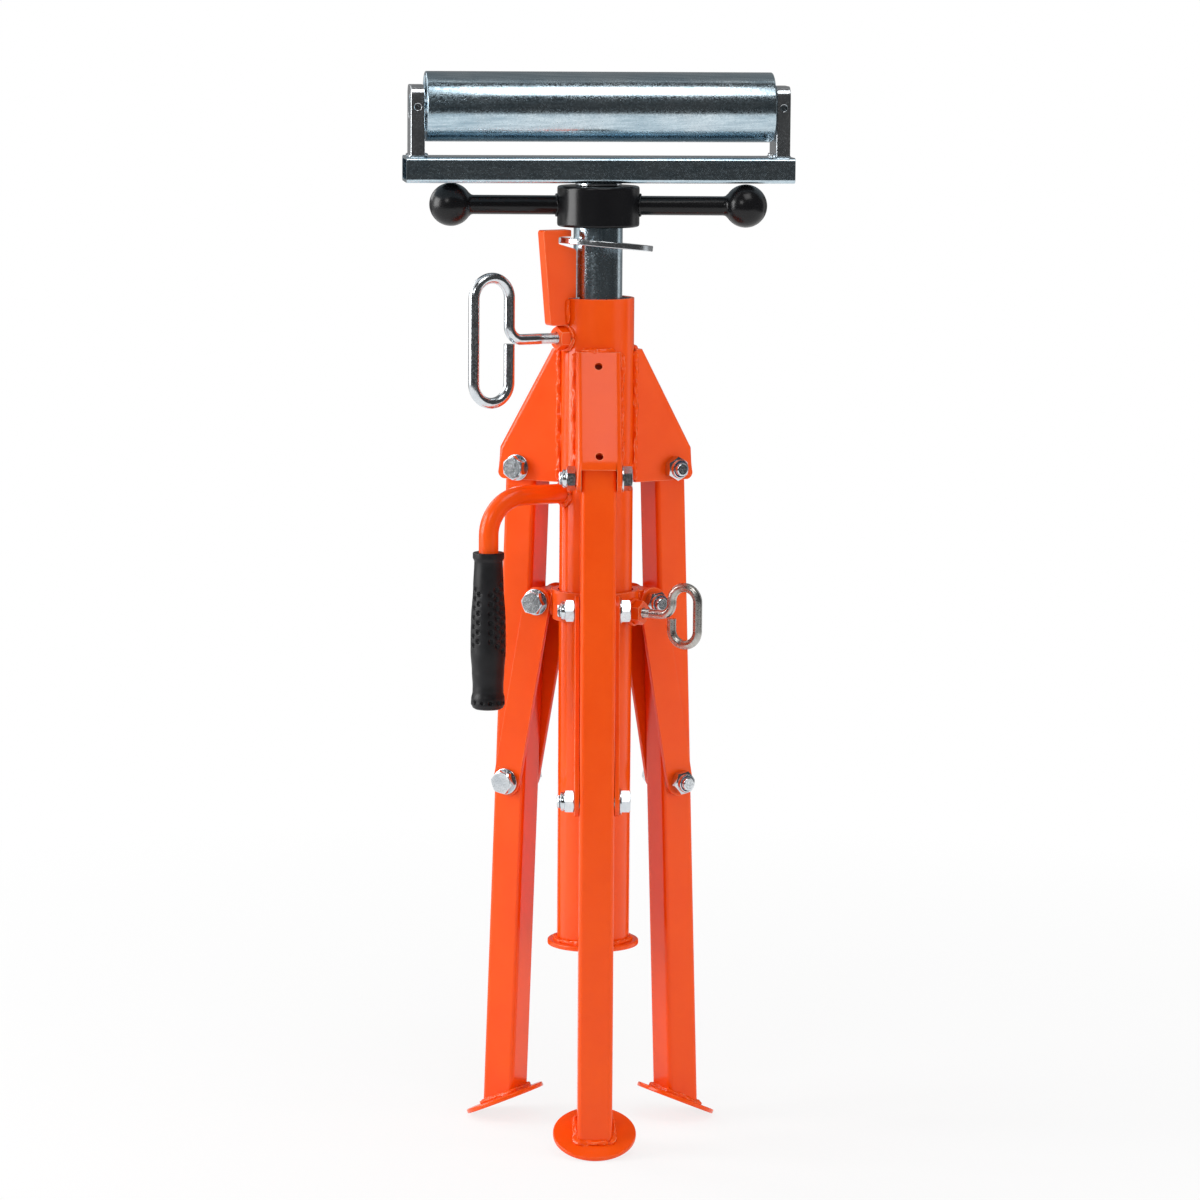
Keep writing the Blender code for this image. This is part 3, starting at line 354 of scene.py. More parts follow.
def pipeProfile(outside, inside, bottom, top):
    return [(inside, bottom), (outside, bottom), (outside, top), (inside, top)]


def discProfile(radius, bottom, top):
    return pipeProfile(radius, core, bottom, top)


def arcPoints(centre, radius, start, end, stepAngle=radians(6)):
    steps = max(3, ceil(abs(end - start) / stepAngle))
    turns = [start + (end - start) * i / steps for i in range(steps + 1)]
    return [(centre[0] + radius * cos(turn), centre[1] + radius * sin(turn)) for turn in turns]


def prism(name, outline, halfWidth, centre=0.0):
    loops = [[Vector((x, y, z)) for x, z in outline] for y in (centre - halfWidth, centre + halfWidth)]
    return skin(name, loops)


def boxLoop(halfX, halfY, corner):
    points = []
    for sideX, sideY, start in ((1, 1, 0.0), (-1, 1, pi / 2), (-1, -1, pi), (1, -1, 3 * pi / 2)):
        centre = (sideX * (halfX - corner), sideY * (halfY - corner))
        points += arcPoints(centre, corner, start, start + pi / 2, radians(15))
    return points


def addPiece(name, mesh, material, matrix=None):
    mesh.materials.clear()
    mesh.materials.append(material)
    piece = bpy.data.objects.new(name, mesh)
    bpy.context.scene.collection.objects.link(piece)
    if matrix is not None:
        mesh.transform(matrix)
    return piece


def turned(name, profile, edge, material, plane, facets=96, ring=True, steps=3):
    # a piece turned from a profile with rounded corners
    return addPiece(name, lathe(name, softCorners(profile, edge, ring, steps), facets, ring), material, plane)


def keepResult(piece):
    graph = bpy.context.evaluated_depsgraph_get()
    graph.update()
    result = bpy.data.meshes.new_from_object(piece.evaluated_get(graph))
    piece.modifiers.clear()
    piece.data = result


def cutAway(piece, cutters, operation="DIFFERENCE"):
    # cut solids out of a piece, or join them on, and keep the result
    for mesh in cutters:
        cutter = bpy.data.objects.new("cutter", mesh)
        bpy.context.scene.collection.objects.link(cutter)
        modifier = piece.modifiers.new("cut", "BOOLEAN")
        modifier.operation = operation
        modifier.solver = "EXACT"
        modifier.object = cutter
        keepResult(piece)
        bpy.data.objects.remove(cutter)


def shadeFlat(piece):
    # large faces stay flat to their rounded edges
    piece.data.shade_smooth()
    piece.data.set_sharp_from_angle(angle=radians(40))
    weights = piece.modifiers.new("weights", "WEIGHTED_NORMAL")
    weights.keep_sharp = True
    keepResult(piece)


def roundEdges(piece, width, segments=3, angle=32):
    bevel = piece.modifiers.new("edges", "BEVEL")
    bevel.width = width
    bevel.segments = segments
    bevel.limit_method = "ANGLE"
    bevel.angle_limit = radians(angle)
    bevel.use_clamp_overlap = True
    keepResult(piece)
    shadeFlat(piece)


def hole(radius, start, end, matrix, facets=48):
    mesh = lathe("hole", [(radius, start), (radius, end)], facets)
    mesh.transform(matrix)
    return mesh


def settle(piece, body, slotName, *nodes):
    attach(piece, body)
    if nodes:
        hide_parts(*nodes)


def sweep(name, path, radiusAt, sides=20, up=Vector((0, 1, 0))):
    # a round bar along a path, with a radius for each distance and turn
    loops = []
    run = 0.0
    for index, point in enumerate(path):
        before = path[max(index - 1, 0)]
        after = path[min(index + 1, len(path) - 1)]
        ahead = (after - before).normalized()
        side = ahead.cross(up).normalized()
        top = side.cross(ahead).normalized()
        if index:
            run += (point - before).length
        turns = [2 * pi * facet / sides for facet in range(sides)]
        loops.append([point + (side * cos(turn) + top * sin(turn)) * radiusAt(run, turn) for turn in turns])
    return skin(name, loops, smoothAngle=50)


def densePath(points, spacing):
    # the same path with points no further apart than the spacing
    path = [Vector(points[0])]
    for start, end in zip(points, points[1:]):
        start, end = Vector(start), Vector(end)
        steps = max(1, ceil((end - start).length / spacing))
        path += [start.lerp(end, i / steps) for i in range(1, steps + 1)]
    return path


# Weld beads

weld = dict(ripple=0.13, pitch=4.4 * mm, wander=0.6 * mm, wanderScale=160, lumps=0.6, lumpScale=0.6,
            lumpLimit=1.15, endShare=0.25, saddleOut=0.9 * mm, seed=5)
# without a seed, noise_vector draws from the clock
noise.seed_set(weld["seed"])
ringTurns = [2 * pi * i / 60 for i in range(61)]


def arcPath(radius, height, start, end, steps):
    turns = [start + (end - start) * i / steps for i in range(steps + 1)]
    return [(radius * cos(turn), radius * sin(turn), height) for turn in turns]


def saddlePath(tubeRadius, reach, height=0.0):
    # where a round stub meets a tube: outward, across and up
    spots = [(reach * cos(turn), reach * sin(turn)) for turn in ringTurns]
    return [(sqrt(tubeRadius ** 2 - y ** 2) + weld["saddleOut"], y, height + z) for y, z in spots]


def weldBead(name, plane, points, body, width, seed=0, outward=False, material=weldCoat,
             slotName="orange_coat"):
    # a rippled, lumpy bead laid along a joint
    up = plane.to_3x3() @ Vector((1, 0, 0)) if outward else Vector((0, 0, 1))
    path = densePath([plane @ Vector(point) for point in points], weld["pitch"] / 5)
    shift = Vector((seed, 0, 0))
    drift = [noise.noise_vector(point * weld["wanderScale"] + shift) * weld["wander"] for point in path]
    path = [point + aside for point, aside in zip(path, drift)]
    total = sum((b - a).length for a, b in zip(path, path[1:]))

    def radiusAt(run, turn):
        beats = run / weld["pitch"]
        ripple = 1 - weld["ripple"] * abs(sin(pi * beats + 0.5 * cos(turn)))
        spot = Vector((beats * weld["lumpScale"], cos(turn), sin(turn) + seed * 3))
        lump = min(1 + weld["lumps"] * noise.noise(spot), weld["lumpLimit"])
        ends = min(1.0, weld["endShare"] + run / width, weld["endShare"] + (total - run) / width)
        return width * ripple * ends * lump

    settle(addPiece(name, sweep(name, path, radiusAt, 12, up), material), body, slotName)


print("helpers ready")

# Fasteners

bolt = dict(radius=6.0 * mm, flat=9.2 * mm, head=7.5 * mm, washer=11.5 * mm, washerThick=1.8 * mm,
            washerPlay=0.1 * mm, washerEdge=0.4 * mm, face=1.6 * mm, nutHex=8.0 * mm, nutCollar=3.5 * mm,
            nutCollarRadius=8.2 * mm, nutPlay=0.3 * mm, tail=3.0 * mm, pitch=1.75 * mm, threadDepth=0.55 * mm,
            runOut=1.0 * mm)
boltTip = ((1.4 * mm, 0.0), (0.8 * mm, 0.4 * mm))    # in from the radius, and up from the end
hexChamfer = 0.35 * mm
rowsPerTurn = 8


def hexLoop(flat, heightAt, facets=48):
    points = []
    for i in range(facets):
        turn = 2 * pi * i / facets
        radius = flat / cos(turn % (pi / 3) - pi / 6)
        points.append(Vector((radius * cos(turn), radius * sin(turn), heightAt(radius))))
    return points


def chamferHeight(flat, end, slope):
    # a turned chamfer on a hexagon: the corners fall away from the end face
    return lambda radius: end + slope * (radius - flat + hexChamfer) * tan(radians(30))


def grooveShare(turns):
    # how deep a sharp thread is, between its ridge and its root
    return 1 - abs(2 * (turns % 1.0) - 1)


def threadLoops(radius, start, end, pitch, depth, facets=48):
    rows = max(2, ceil(abs(end - start) / pitch * rowsPerTurn))
    loops = []
    for row in range(rows + 1):
        height = start + (end - start) * row / rows
        loop = []
        for i in range(facets):
            turn = 2 * pi * i / facets
            ridge = radius - depth * grooveShare(height / pitch - i / facets)
            loop.append(Vector((ridge * cos(turn), ridge * sin(turn), height)))
        loops.append(loop)
    return loops


def boltMeshes(halfGrip):
    radius, flat = bolt["radius"], bolt["flat"]
    seat = halfGrip + seatGap
    head = seat + bolt["washerThick"]
    top = head + bolt["head"]
    nutEnd = -(seat + bolt["nutHex"] + bolt["nutCollar"])
    tail = nutEnd - bolt["tail"]
    runOut = bolt["runOut"]
    shank = [circleLoop(radius - inward, tail + along) for inward, along in boltTip]
    shank += threadLoops(radius, tail + runOut, nutEnd + runOut, bolt["pitch"], bolt["threadDepth"])
    shank += [circleLoop(radius, nutEnd + 2 * runOut), circleLoop(radius, head),
              hexLoop(flat, lambda corner: head), hexLoop(flat, chamferHeight(flat, top, -1)),
              circleLoop(flat - hexChamfer, top), circleLoop(flat - bolt["face"], top)]
    ring = pipeProfile(bolt["washer"], radius + bolt["washerPlay"], seat, head - 0.05 * mm)
    washer = softCorners(ring, bolt["washerEdge"], True)
    return skin("bolt", shank, smoothAngle=30), lathe("washer", washer, 48, True)


def nutMeshes(halfGrip):
    flat, around = bolt["flat"], bolt["nutCollarRadius"]
    bore = bolt["radius"] + bolt["nutPlay"]
    seat = -(halfGrip + seatGap)
    hexEnd = seat - bolt["nutHex"]
    end = hexEnd - bolt["nutCollar"]
    body = [circleLoop(bore, seat), circleLoop(flat - hexChamfer, seat),
            hexLoop(flat, chamferHeight(flat, seat, -1)), hexLoop(flat, chamferHeight(flat, hexEnd, 1)),
            circleLoop(flat - hexChamfer, hexEnd)]
    # the round collar, the rim crimped over the insert and the way back to the bore
    rim = [(around, hexEnd - 0.3 * mm), (around, end + 1.2 * mm), (around - 0.5 * mm, end + 0.3 * mm),
           (around - 1.2 * mm, end), (bore + 0.9 * mm, end), (bore + 0.7 * mm, end + 0.8 * mm),
           (bore, end + 0.8 * mm)]
    body += [circleLoop(radius, height) for radius, height in rim]
    # the insert fills the crimped rim down to the thread
    ring = pipeProfile(bore + 0.6 * mm, bolt["radius"] - 0.2 * mm, end + 0.35 * mm, end + 0.75 * mm)
    return skin("nut", body, True, 30), lathe("insert", softCorners(ring, 0.1 * mm, True), 48, True)


def fasten(title, node, halfGrip, body, matrix, turn):
    # a bolt with its head at positive Y of the matrix, its washer, lock nut and nylon insert
    lying = matrix @ alongY @ Matrix.Rotation(turn, 4, "Z")
    boltMesh, washerMesh = boltMeshes(halfGrip)
    nutMesh, insertMesh = nutMeshes(halfGrip)
    for label, mesh in (("Bolt", boltMesh), ("Washer", washerMesh)):
        settle(addPiece(title + label, mesh, zincBright, lying), body, "zinc_plate", node + "_bolt")
    settle(addPiece(title + "LockNut", nutMesh, zincBright, lying), body, "zinc_plate", node + "_nut")
    settle(addPiece(title + "Insert", insertMesh, nylonRing, lying), body, "guide_plastic", node + "_nut")


# Places shared by several pieces, as in the CAD

legWidth = 30.0 * mm
legLean = radians(2.05)
foldAngle = radians(24.0)
pivotRadius = 67.5 * mm
pivotHeight = 585.0 * mm
strutDrop = 278.5 * mm
strutLength = 164.0 * mm
collarPivot = 48.0 * mm
strutBoltRadius = pivotRadius + strutDrop * sin(legLean)
strutBoltHeight = pivotHeight - strutDrop * cos(legLean)
strutAngle = asin((strutBoltRadius - collarPivot) / strutLength)
collarHeight = strutBoltHeight + strutLength * cos(strutAngle)
boltBore = bolt["radius"] + 0.4 * mm
twoSides = ((1, -1), (2, 1))                                  # number and side of a pair
twoEnds = (("Left", "left", -1), ("Right", "right", 1))      # title, node and side of a pair

# Outer tube

tube = dict(radius=31.75 * mm, wall=3.0 * mm, bottom=171.0 * mm, top=735.0 * mm, edge=0.7 * mm,
            screwHeight=701.0 * mm, screwHole=5.1 * mm)
tubeProfile = pipeProfile(tube["radius"], tube["radius"] - tube["wall"], tube["bottom"], tube["top"])
outerTube = turned("outerTube", tubeProfile, tube["edge"], orangeCoat, planeAt(0), 128)
upperPlane = planeAt(hookDirection, tube["screwHeight"])
cutAway(outerTube, [hole(tube["screwHole"], 0, tube["radius"] * 2, upperPlane @ alongX)])
settle(outerTube, "stand_frame", "orange_coat", "outer_tube")

baseDisc = dict(radius=40.0 * mm, thickness=4.5 * mm, edge=1.4 * mm, weldOut=1.0 * mm, weldUp=0.8 * mm,
                weld=2.6 * mm)
discTop = tube["bottom"] - seatGap
disc = turned("baseDisc", discProfile(baseDisc["radius"], discTop - baseDisc["thickness"], discTop),
              baseDisc["edge"], orangeCoat, planeAt(0), ring=False)
settle(disc, "stand_frame", "orange_coat", "base_disc")
discSeam = arcPath(tube["radius"] + baseDisc["weldOut"], discTop + baseDisc["weldUp"], 0, 2 * pi, 60)
weldBead("baseDiscWeld", planeAt(0), discSeam, "stand_frame", baseDisc["weld"], seed=3)

bush = dict(inside=21.7 * mm, length=24.0 * mm, lead=1.5 * mm, inset=0.4 * mm, edge=0.4 * mm)
bushOutside = tube["radius"] - tube["wall"] - seatGap
bushTop = tube["top"] - bush["inset"]
bushBottom = tube["top"] - bush["length"]
bushProfile = [(bush["inside"] + bush["lead"], bushTop), (bushOutside, bushTop), (bushOutside, bushBottom),
               (bush["inside"], bushBottom), (bush["inside"], tube["top"] - bush["lead"] * 2)]
guideBush = turned("guideBush", bushProfile, bush["edge"], guidePlastic, planeAt(0))
settle(guideBush, "stand_frame", "guide_plastic", "guide_bush")

# Leg brackets

bracket = dict(sheet=4.0 * mm, top=690.0 * mm, shoulder=602.0 * mm, skirt=594.0 * mm, drop=10.5 * mm,
               bend=5.0 * mm, footBend=6.4 * mm, holeRadius=3.4 * mm, topInset=13.0 * mm, lowInset=4.2 * mm,
               edge=0.5 * mm, legGap=0.5 * mm)
cheekWeld = dict(width=3.0 * mm, out=1.1 * mm, aside=0.6 * mm, low=2.0 * mm, high=1.0 * mm)
webWeld = dict(width=3.2 * mm, out=1.6 * mm, up=0.2 * mm, inset=1.0 * mm)
cheekInside = legWidth / 2 + seatGap
cheekOutside = cheekInside + bracket["sheet"]
bracketReach = pivotRadius + legWidth / 2 + bracket["legGap"] + bracket["sheet"]
bracketBottom = pivotHeight - bracket["drop"]
crown = tube["radius"] + seatGap + bracket["sheet"]
webSlope = Vector((bracketReach - crown, bracket["shoulder"] - bracket["top"])).normalized()
webTilt = atan((bracketReach - crown) / (bracket["top"] - bracket["shoulder"]))


def bendFolds(blank, foldLine):
    # round the folds between the web and the cheeks
    shape = bmesh.new()
    shape.from_mesh(blank)
    folds = []
    for edge in shape.edges:
        ends = [Vector((vert.co.x, vert.co.z)) for vert in edge.verts]
        level = abs(edge.verts[0].co.y - edge.verts[1].co.y) < seatGap
        if level and all(min((end - point).length for point in foldLine) < seatGap for end in ends):
            folds.append(edge)
    bmesh.ops.bevel(shape, geom=folds, offset=bracket["bend"], segments=8, affect="EDGES", profile=0.5)
    shape.to_mesh(blank)
    shape.free()


def bracketCutters():
    # the hollow under the web, the window below its skirt, the pivot's bore and the two small holes
    top, shoulder, skirt = bracket["top"], bracket["shoulder"], bracket["skirt"]
    over = bracket["sheet"] * 2
    below = bracketBottom - over
    inward = Vector((webSlope.y, -webSlope.x)) * bracket["sheet"]
    fall = webSlope.y / webSlope.x
    innerWeb = bracketReach - bracket["sheet"]
    innerCrown = crown - bracket["sheet"]
    shoulderZ = shoulder + inward.y + (innerWeb - bracketReach - inward.x) * fall
    crownZ = top + inward.y + (innerCrown - crown - inward.x) * fall
    hollow = [(0, below), (innerWeb, below), (innerWeb, shoulderZ), (innerCrown, crownZ),
              (innerCrown, top + over), (0, top + over)]
    window = [(innerWeb - over, below), (bracketReach + over, below),
              (bracketReach + over, skirt), (innerWeb - over, skirt)]
    across = Matrix.Translation((pivotRadius, 0, pivotHeight)) @ alongY
    cutters = [prism("hollow", hollow, cheekInside), prism("window", window, cheekInside),
               hole(boltBore, -cheekOutside * 2, cheekOutside * 2, across)]
    for end, along in (((crown, top), bracket["topInset"]), ((bracketReach, shoulder), -bracket["lowInset"])):
        x, z = Vector(end) + webSlope * along
        lean = Matrix.Translation((x, 0, z)) @ Matrix.Rotation(pi / 2 - webTilt, 4, "Y")
        cutters.append(hole(bracket["holeRadius"], -over, over, lean))
    return cutters


def bracketPiece(title, node, direction):
    bend = bracket["footBend"]
    tubeSide = sqrt(tube["radius"] ** 2 - cheekInside ** 2) + seatGap
    outline = [(tubeSide, bracketBottom)]
    outline += arcPoints((bracketReach - bend, bracketBottom + bend), bend, -pi / 2, 0)
    outline += [(bracketReach, bracket["shoulder"]), (crown, bracket["top"]), (tubeSide, bracket["top"])]
    blank = prism(title, outline, cheekOutside)
    bendFolds(blank, [Vector(point) for point in outline[-4:-1]])
    piece = addPiece(title, blank, orangeCoat)
    cutAway(piece, bracketCutters())
    roundEdges(piece, bracket["edge"])
    piece.data.transform(planeAt(direction))
    settle(piece, "stand_frame", "orange_coat", node)


def bracketWelds(title, direction):
    # down both cheeks and over the top of the web
    plane = planeAt(direction)
    x = sqrt(tube["radius"] ** 2 - cheekOutside ** 2) + cheekWeld["out"]
    low, high = bracketBottom + cheekWeld["low"], bracket["top"] - cheekWeld["high"]
    for number, side in twoSides:
        y = side * (cheekOutside + cheekWeld["aside"])
        weldBead(title + "Weld" + str(number), plane, [(x, y, low), (x, y, high)], "stand_frame",
                 cheekWeld["width"], number + direction, outward=True)
    span = asin((cheekInside - webWeld["inset"]) / tube["radius"])
    over = arcPath(tube["radius"] + webWeld["out"], bracket["top"] + webWeld["up"], -span, span, 16)
    weldBead(title + "TopWeld", plane, over, "stand_frame", webWeld["width"], direction)


for sector, direction in sectors.items():
    bracketPiece("bracket" + sector.capitalize(), "bracket_" + sector, direction)
    bracketWelds("bracket" + sector.capitalize(), direction)
print("tube and brackets made")

# Legs and foot pads

leg = dict(wall=2.5 * mm, corner=4.0 * mm, head=12.0 * mm, edge=0.45 * mm, strutHole=12.6 * mm)
pad = dict(radius=36.0 * mm, thickness=4.0 * mm, edge=1.2 * mm, weldOut=1.2 * mm, weldUp=0.4 * mm,
           weld=2.9 * mm)
padHeight = pad["radius"] * sin(foldAngle) + pad["thickness"] / 2 * cos(foldAngle)
legReach = (pivotHeight - padHeight) / cos(legLean)
openLean = legLean + foldAngle
legFoot = -legReach + (pad["thickness"] / 2 + seatGap) / cos(openLean)


def mitred(outline, lift=0.0):
    # the outline on the slanting plane of the leg's foot
    return [Vector((x, y, legFoot - x * tan(openLean) + lift)) for x, y in outline]


def legPiece(title, node, direction):
    pivot = planeAt(direction, pivotHeight, pivotRadius, -legLean)
    half = legWidth / 2
    outer = boxLoop(half, half, leg["corner"])
    inner = boxLoop(half - leg["wall"], half - leg["wall"], leg["corner"] - leg["wall"])
    loops = [mitred(inner), mitred(outer)]
    loops += [[Vector((x, y, leg["head"])) for x, y in outline] for outline in (outer, inner)]
    piece = addPiece("leg" + title, skin("leg", loops, ring=True), orangeCoat)
    strutBolt = Matrix.Translation((0, 0, -strutDrop)) @ alongY
    cutAway(piece, [hole(boltBore, -legWidth, legWidth, alongY),
                    hole(leg["strutHole"], -legWidth, legWidth, strutBolt)])
    roundEdges(piece, leg["edge"], segments=2, angle=50)
    piece.data.transform(pivot)
    settle(piece, "leg_" + node, "orange_coat", "leg_tube_" + node)
    halfPad = pad["thickness"] / 2
    padPlane = pivot @ Matrix.Translation((0, 0, -legReach)) @ Matrix.Rotation(openLean, 4, "Y")
    sole = turned("footPad" + title, discProfile(pad["radius"], -halfPad, halfPad), pad["edge"], orangeCoat,
                  padPlane, ring=False)
    settle(sole, "leg_" + node, "orange_coat", "foot_pad_" + node)
    seam = mitred(boxLoop(half + pad["weldOut"], half + pad["weldOut"], leg["corner"]), pad["weldUp"])
    weldBead("padWeld" + title, pivot, seam + seam[:1], "leg_" + node, pad["weld"], direction)
    fasten("legPivot" + title, "leg_pivot_" + node, cheekOutside, "stand_frame",
           planeAt(direction, pivotHeight, pivotRadius), direction)


for sector, direction in sectors.items():
    legPiece(sector.capitalize(), sector, direction)
print("legs made")

# Struts

strut = dict(width=26.0 * mm, thickness=4.0 * mm, edge=0.6 * mm)
strutInside = legWidth / 2 + seatGap
strutOutside = strutInside + strut["thickness"]


def strutPieces(title, node, direction):
    pivot = planeAt(direction, collarHeight, collarPivot, -strutAngle)
    low = Matrix.Translation((0, 0, -strutLength))
    half = strut["width"] / 2
    outline = arcPoints((0, 0), half, 0, pi) + arcPoints((0, -strutLength), half, pi, 2 * pi)
    for number, side in twoSides:
        flatBar = prism("strut", outline, strut["thickness"] / 2, side * (strutInside + strutOutside) / 2)
        bar = addPiece("strut" + title + str(number), flatBar, orangeCoat)
        for spot in (alongY, low @ alongY):
            cutAway(bar, [hole(boltBore, -strutOutside * 2, strutOutside * 2, spot)])
        roundEdges(bar, strut["edge"], segments=3, angle=50)
        bar.data.transform(pivot)
        settle(bar, "strut_" + node, "orange_coat", "strut_bar_" + node + "_" + str(number))
    fasten("strutBolt" + title, "strut_" + node, strutOutside, "strut_" + node, pivot @ low, direction * 2)


for sector, direction in sectors.items():
    strutPieces(sector.capitalize(), sector, direction)
print("struts made")

# Clamp screws and their welded nuts

clampNut = dict(flat=9.2 * mm, height=10.0 * mm, play=0.4 * mm, mouth=0.8 * mm, weldOut=1.3 * mm,
                weld=1.8 * mm)
upperScrew = dict(radius=4.7 * mm, tip=21.5 * mm, threadTo=60.0 * mm, loopIn=88.5 * mm, width=35.0 * mm,
                  height=107.0 * mm, elbow=12.0 * mm, pitch=1.6 * mm, depth=0.6 * mm)
lowerScrew = dict(radius=4.0 * mm, tip=tube["radius"] + seatGap, drop=5.0 * mm, threadTo=56.0 * mm,
                  loopIn=75.0 * mm, width=25.0 * mm, height=50.0 * mm, elbow=10.0 * mm, pitch=1.4 * mm,
                  depth=0.5 * mm)
rodEnd = dict(length=1.2 * mm, share=1.4, fade=3.0 * mm)    # a smooth point, and the thread's fading end
pathStep = 4.0 * mm


def clampNutPiece(name, node, rod, wall, plane, body):
    # a nut for the rod, welded to a round wall
    bore = rod["radius"] + clampNut["play"]
    mouth = clampNut["mouth"]
    flat, top = clampNut["flat"], clampNut["height"]
    loops = [circleLoop(bore, 0), hexLoop(flat, lambda corner: 0.0),
             hexLoop(flat, chamferHeight(flat, top, -1)), circleLoop(flat - hexChamfer, top),
             circleLoop(bore + mouth, top), circleLoop(bore, top - mouth)]
    seat = plane @ Matrix.Translation((wall["radius"] + seatGap, 0, 0)) @ alongX
    settle(addPiece(name, skin(name, loops, True, 30), orangeCoat, seat), body, "orange_coat", node)
    seam = saddlePath(wall["radius"], flat + clampNut["weldOut"])
    weldBead(name + "Weld", plane, seam, body, clampNut["weld"], rod["radius"] * 900, outward=True)


def loopScrewPiece(name, node, rod, plane, material):
    # a threaded rod whose end is bent round into an oval loop
    radius, loopIn, elbow = rod["radius"], rod["loopIn"], rod["elbow"]
    tip, threadEnd = rod["tip"], rod["threadTo"]
    bow = rod["width"] / 2
    straight = rod["height"] / 2 - bow
    outline = [(tip, 0), (threadEnd, 0), (loopIn - elbow, 0)]
    outline += arcPoints((loopIn - elbow, elbow), elbow, -pi / 2, 0)[1:]
    outline += arcPoints((loopIn + bow, straight), bow, pi, 0)
    outline += arcPoints((loopIn + bow, -straight), bow, 0, -pi)
    outline.append((loopIn, elbow - sqrt((elbow + radius + seatGap) ** 2 - (elbow - radius) ** 2)))
    points = [Vector((x, 0, z)) for x, z in outline]
    path = densePath(points[:2], rod["pitch"] / 8) + densePath(points[1:], pathStep)[1:]
    threadLength = threadEnd - tip

    def radiusAt(run, turn):
        if run < rodEnd["length"]:
            return radius - rod["depth"] * rodEnd["share"]
        if run > threadLength:
            return radius
        fade = min(1.0, (threadLength - run) / rodEnd["fade"])
        return radius - rod["depth"] * grooveShare(run / rod["pitch"] - turn / (2 * pi)) * fade

    settle(addPiece(name, sweep(name, path, radiusAt, 32), material, plane), node, "zinc_plate", node)


# Sliding collar

collar = dict(radius=37.5 * mm, wall=4.5 * mm, height=26.0 * mm, lugHeight=22.0 * mm, lugEdge=8.2 * mm,
              edge=0.6 * mm, facets=110)
lugWeld = dict(width=1.9 * mm, out=0.8 * mm, aside=0.5 * mm, inset=1.0 * mm)
lugTopWeld = dict(width=1.5 * mm, out=0.6 * mm, up=0.3 * mm)
lugHalf = collar["lugHeight"] / 2
lowerPlane = planeAt(lowerScrewDirection, collarHeight - lowerScrew["drop"])


def lugMesh(direction):
    end = collarPivot + collar["lugEdge"]
    corner = collar["lugEdge"] / 2
    start = collar["radius"] - collar["wall"] / 2
    outline = [(start, -lugHalf)] + arcPoints((end - corner, corner - lugHalf), corner, -pi / 2, 0)
    outline += arcPoints((end - corner, lugHalf - corner), corner, 0, pi / 2) + [(start, lugHalf)]
    lug = addPiece("lug", prism("lug", outline, legWidth / 2), orangeCoat)
    roundEdges(lug, collar["edge"], segments=3, angle=50)
    mesh = lug.data
    mesh.transform(Matrix.Rotation(direction, 4, "Z"))
    bpy.data.objects.remove(lug)
    return mesh


def collarRing():
    half = collar["height"] / 2
    inside = collar["radius"] - collar["wall"]
    ring = turned("collarRing", pipeProfile(collar["radius"], inside, -half, half), collar["edge"],
                  orangeCoat, None, collar["facets"])
    cutAway(ring, [lugMesh(direction) for direction in sectors.values()], "UNION")
    for direction in sectors.values():
        pivot = Matrix.Rotation(direction, 4, "Z") @ Matrix.Translation((collarPivot, 0, 0)) @ alongY
        cutAway(ring, [hole(boltBore, -legWidth, legWidth, pivot)])
    screwLine = Matrix.Rotation(lowerScrewDirection, 4, "Z") @ Matrix.Translation((0, 0, -lowerScrew["drop"]))
    cutAway(ring, [hole(lowerScrew["radius"] + clampNut["play"], 0, collar["radius"] * 2, screwLine @ alongX),
                   lathe("bore", [(inside, -half * 2), (inside, half * 2)], collar["facets"])])
    shadeFlat(ring)
    ring.data.transform(planeAt(0, collarHeight))
    settle(ring, "collar", "orange_coat", "collar_ring")


def lugWelds(title, direction):
    plane = planeAt(direction, collarHeight)
    x = sqrt(collar["radius"] ** 2 - (legWidth / 2) ** 2) + lugWeld["out"]
    end = lugHalf - lugWeld["inset"]
    for number, side in twoSides:
        y = side * (legWidth / 2 + lugWeld["aside"])
        weldBead("lugWeld" + title + str(number), plane, [(x, y, -end), (x, y, end)], "collar",
                 lugWeld["width"], direction + number, outward=True)
    span = asin((legWidth / 2 - lugWeld["inset"]) / collar["radius"])
    arch = arcPath(collar["radius"] + lugTopWeld["out"], lugHalf + lugTopWeld["up"], -span, span, 16)
    weldBead("lugTopWeld" + title, plane, arch, "collar", lugTopWeld["width"], direction)


collarRing()
for sector, direction in sectors.items():
    lugWelds(sector.capitalize(), direction)
    fasten("collar" + sector.capitalize(), "collar_" + sector, strutOutside, "collar",
           planeAt(direction, collarHeight, collarPivot), direction + 0.4)
clampNutPiece("lowerClampNut", "lower_clamp_nut", lowerScrew, collar, lowerPlane, "collar")
loopScrewPiece("lowerClampScrew", "lower_clamp_screw", lowerScrew, lowerPlane, nickelDull)
clampNutPiece("upperClampNut", "upper_clamp_nut", upperScrew, tube, upperPlane, "stand_frame")
loopScrewPiece("upperClampScrew", "upper_clamp_screw", upperScrew, upperPlane, zincBright)
print("collar and clamp screws made")

# Drop lock: hook plate and tilted ring

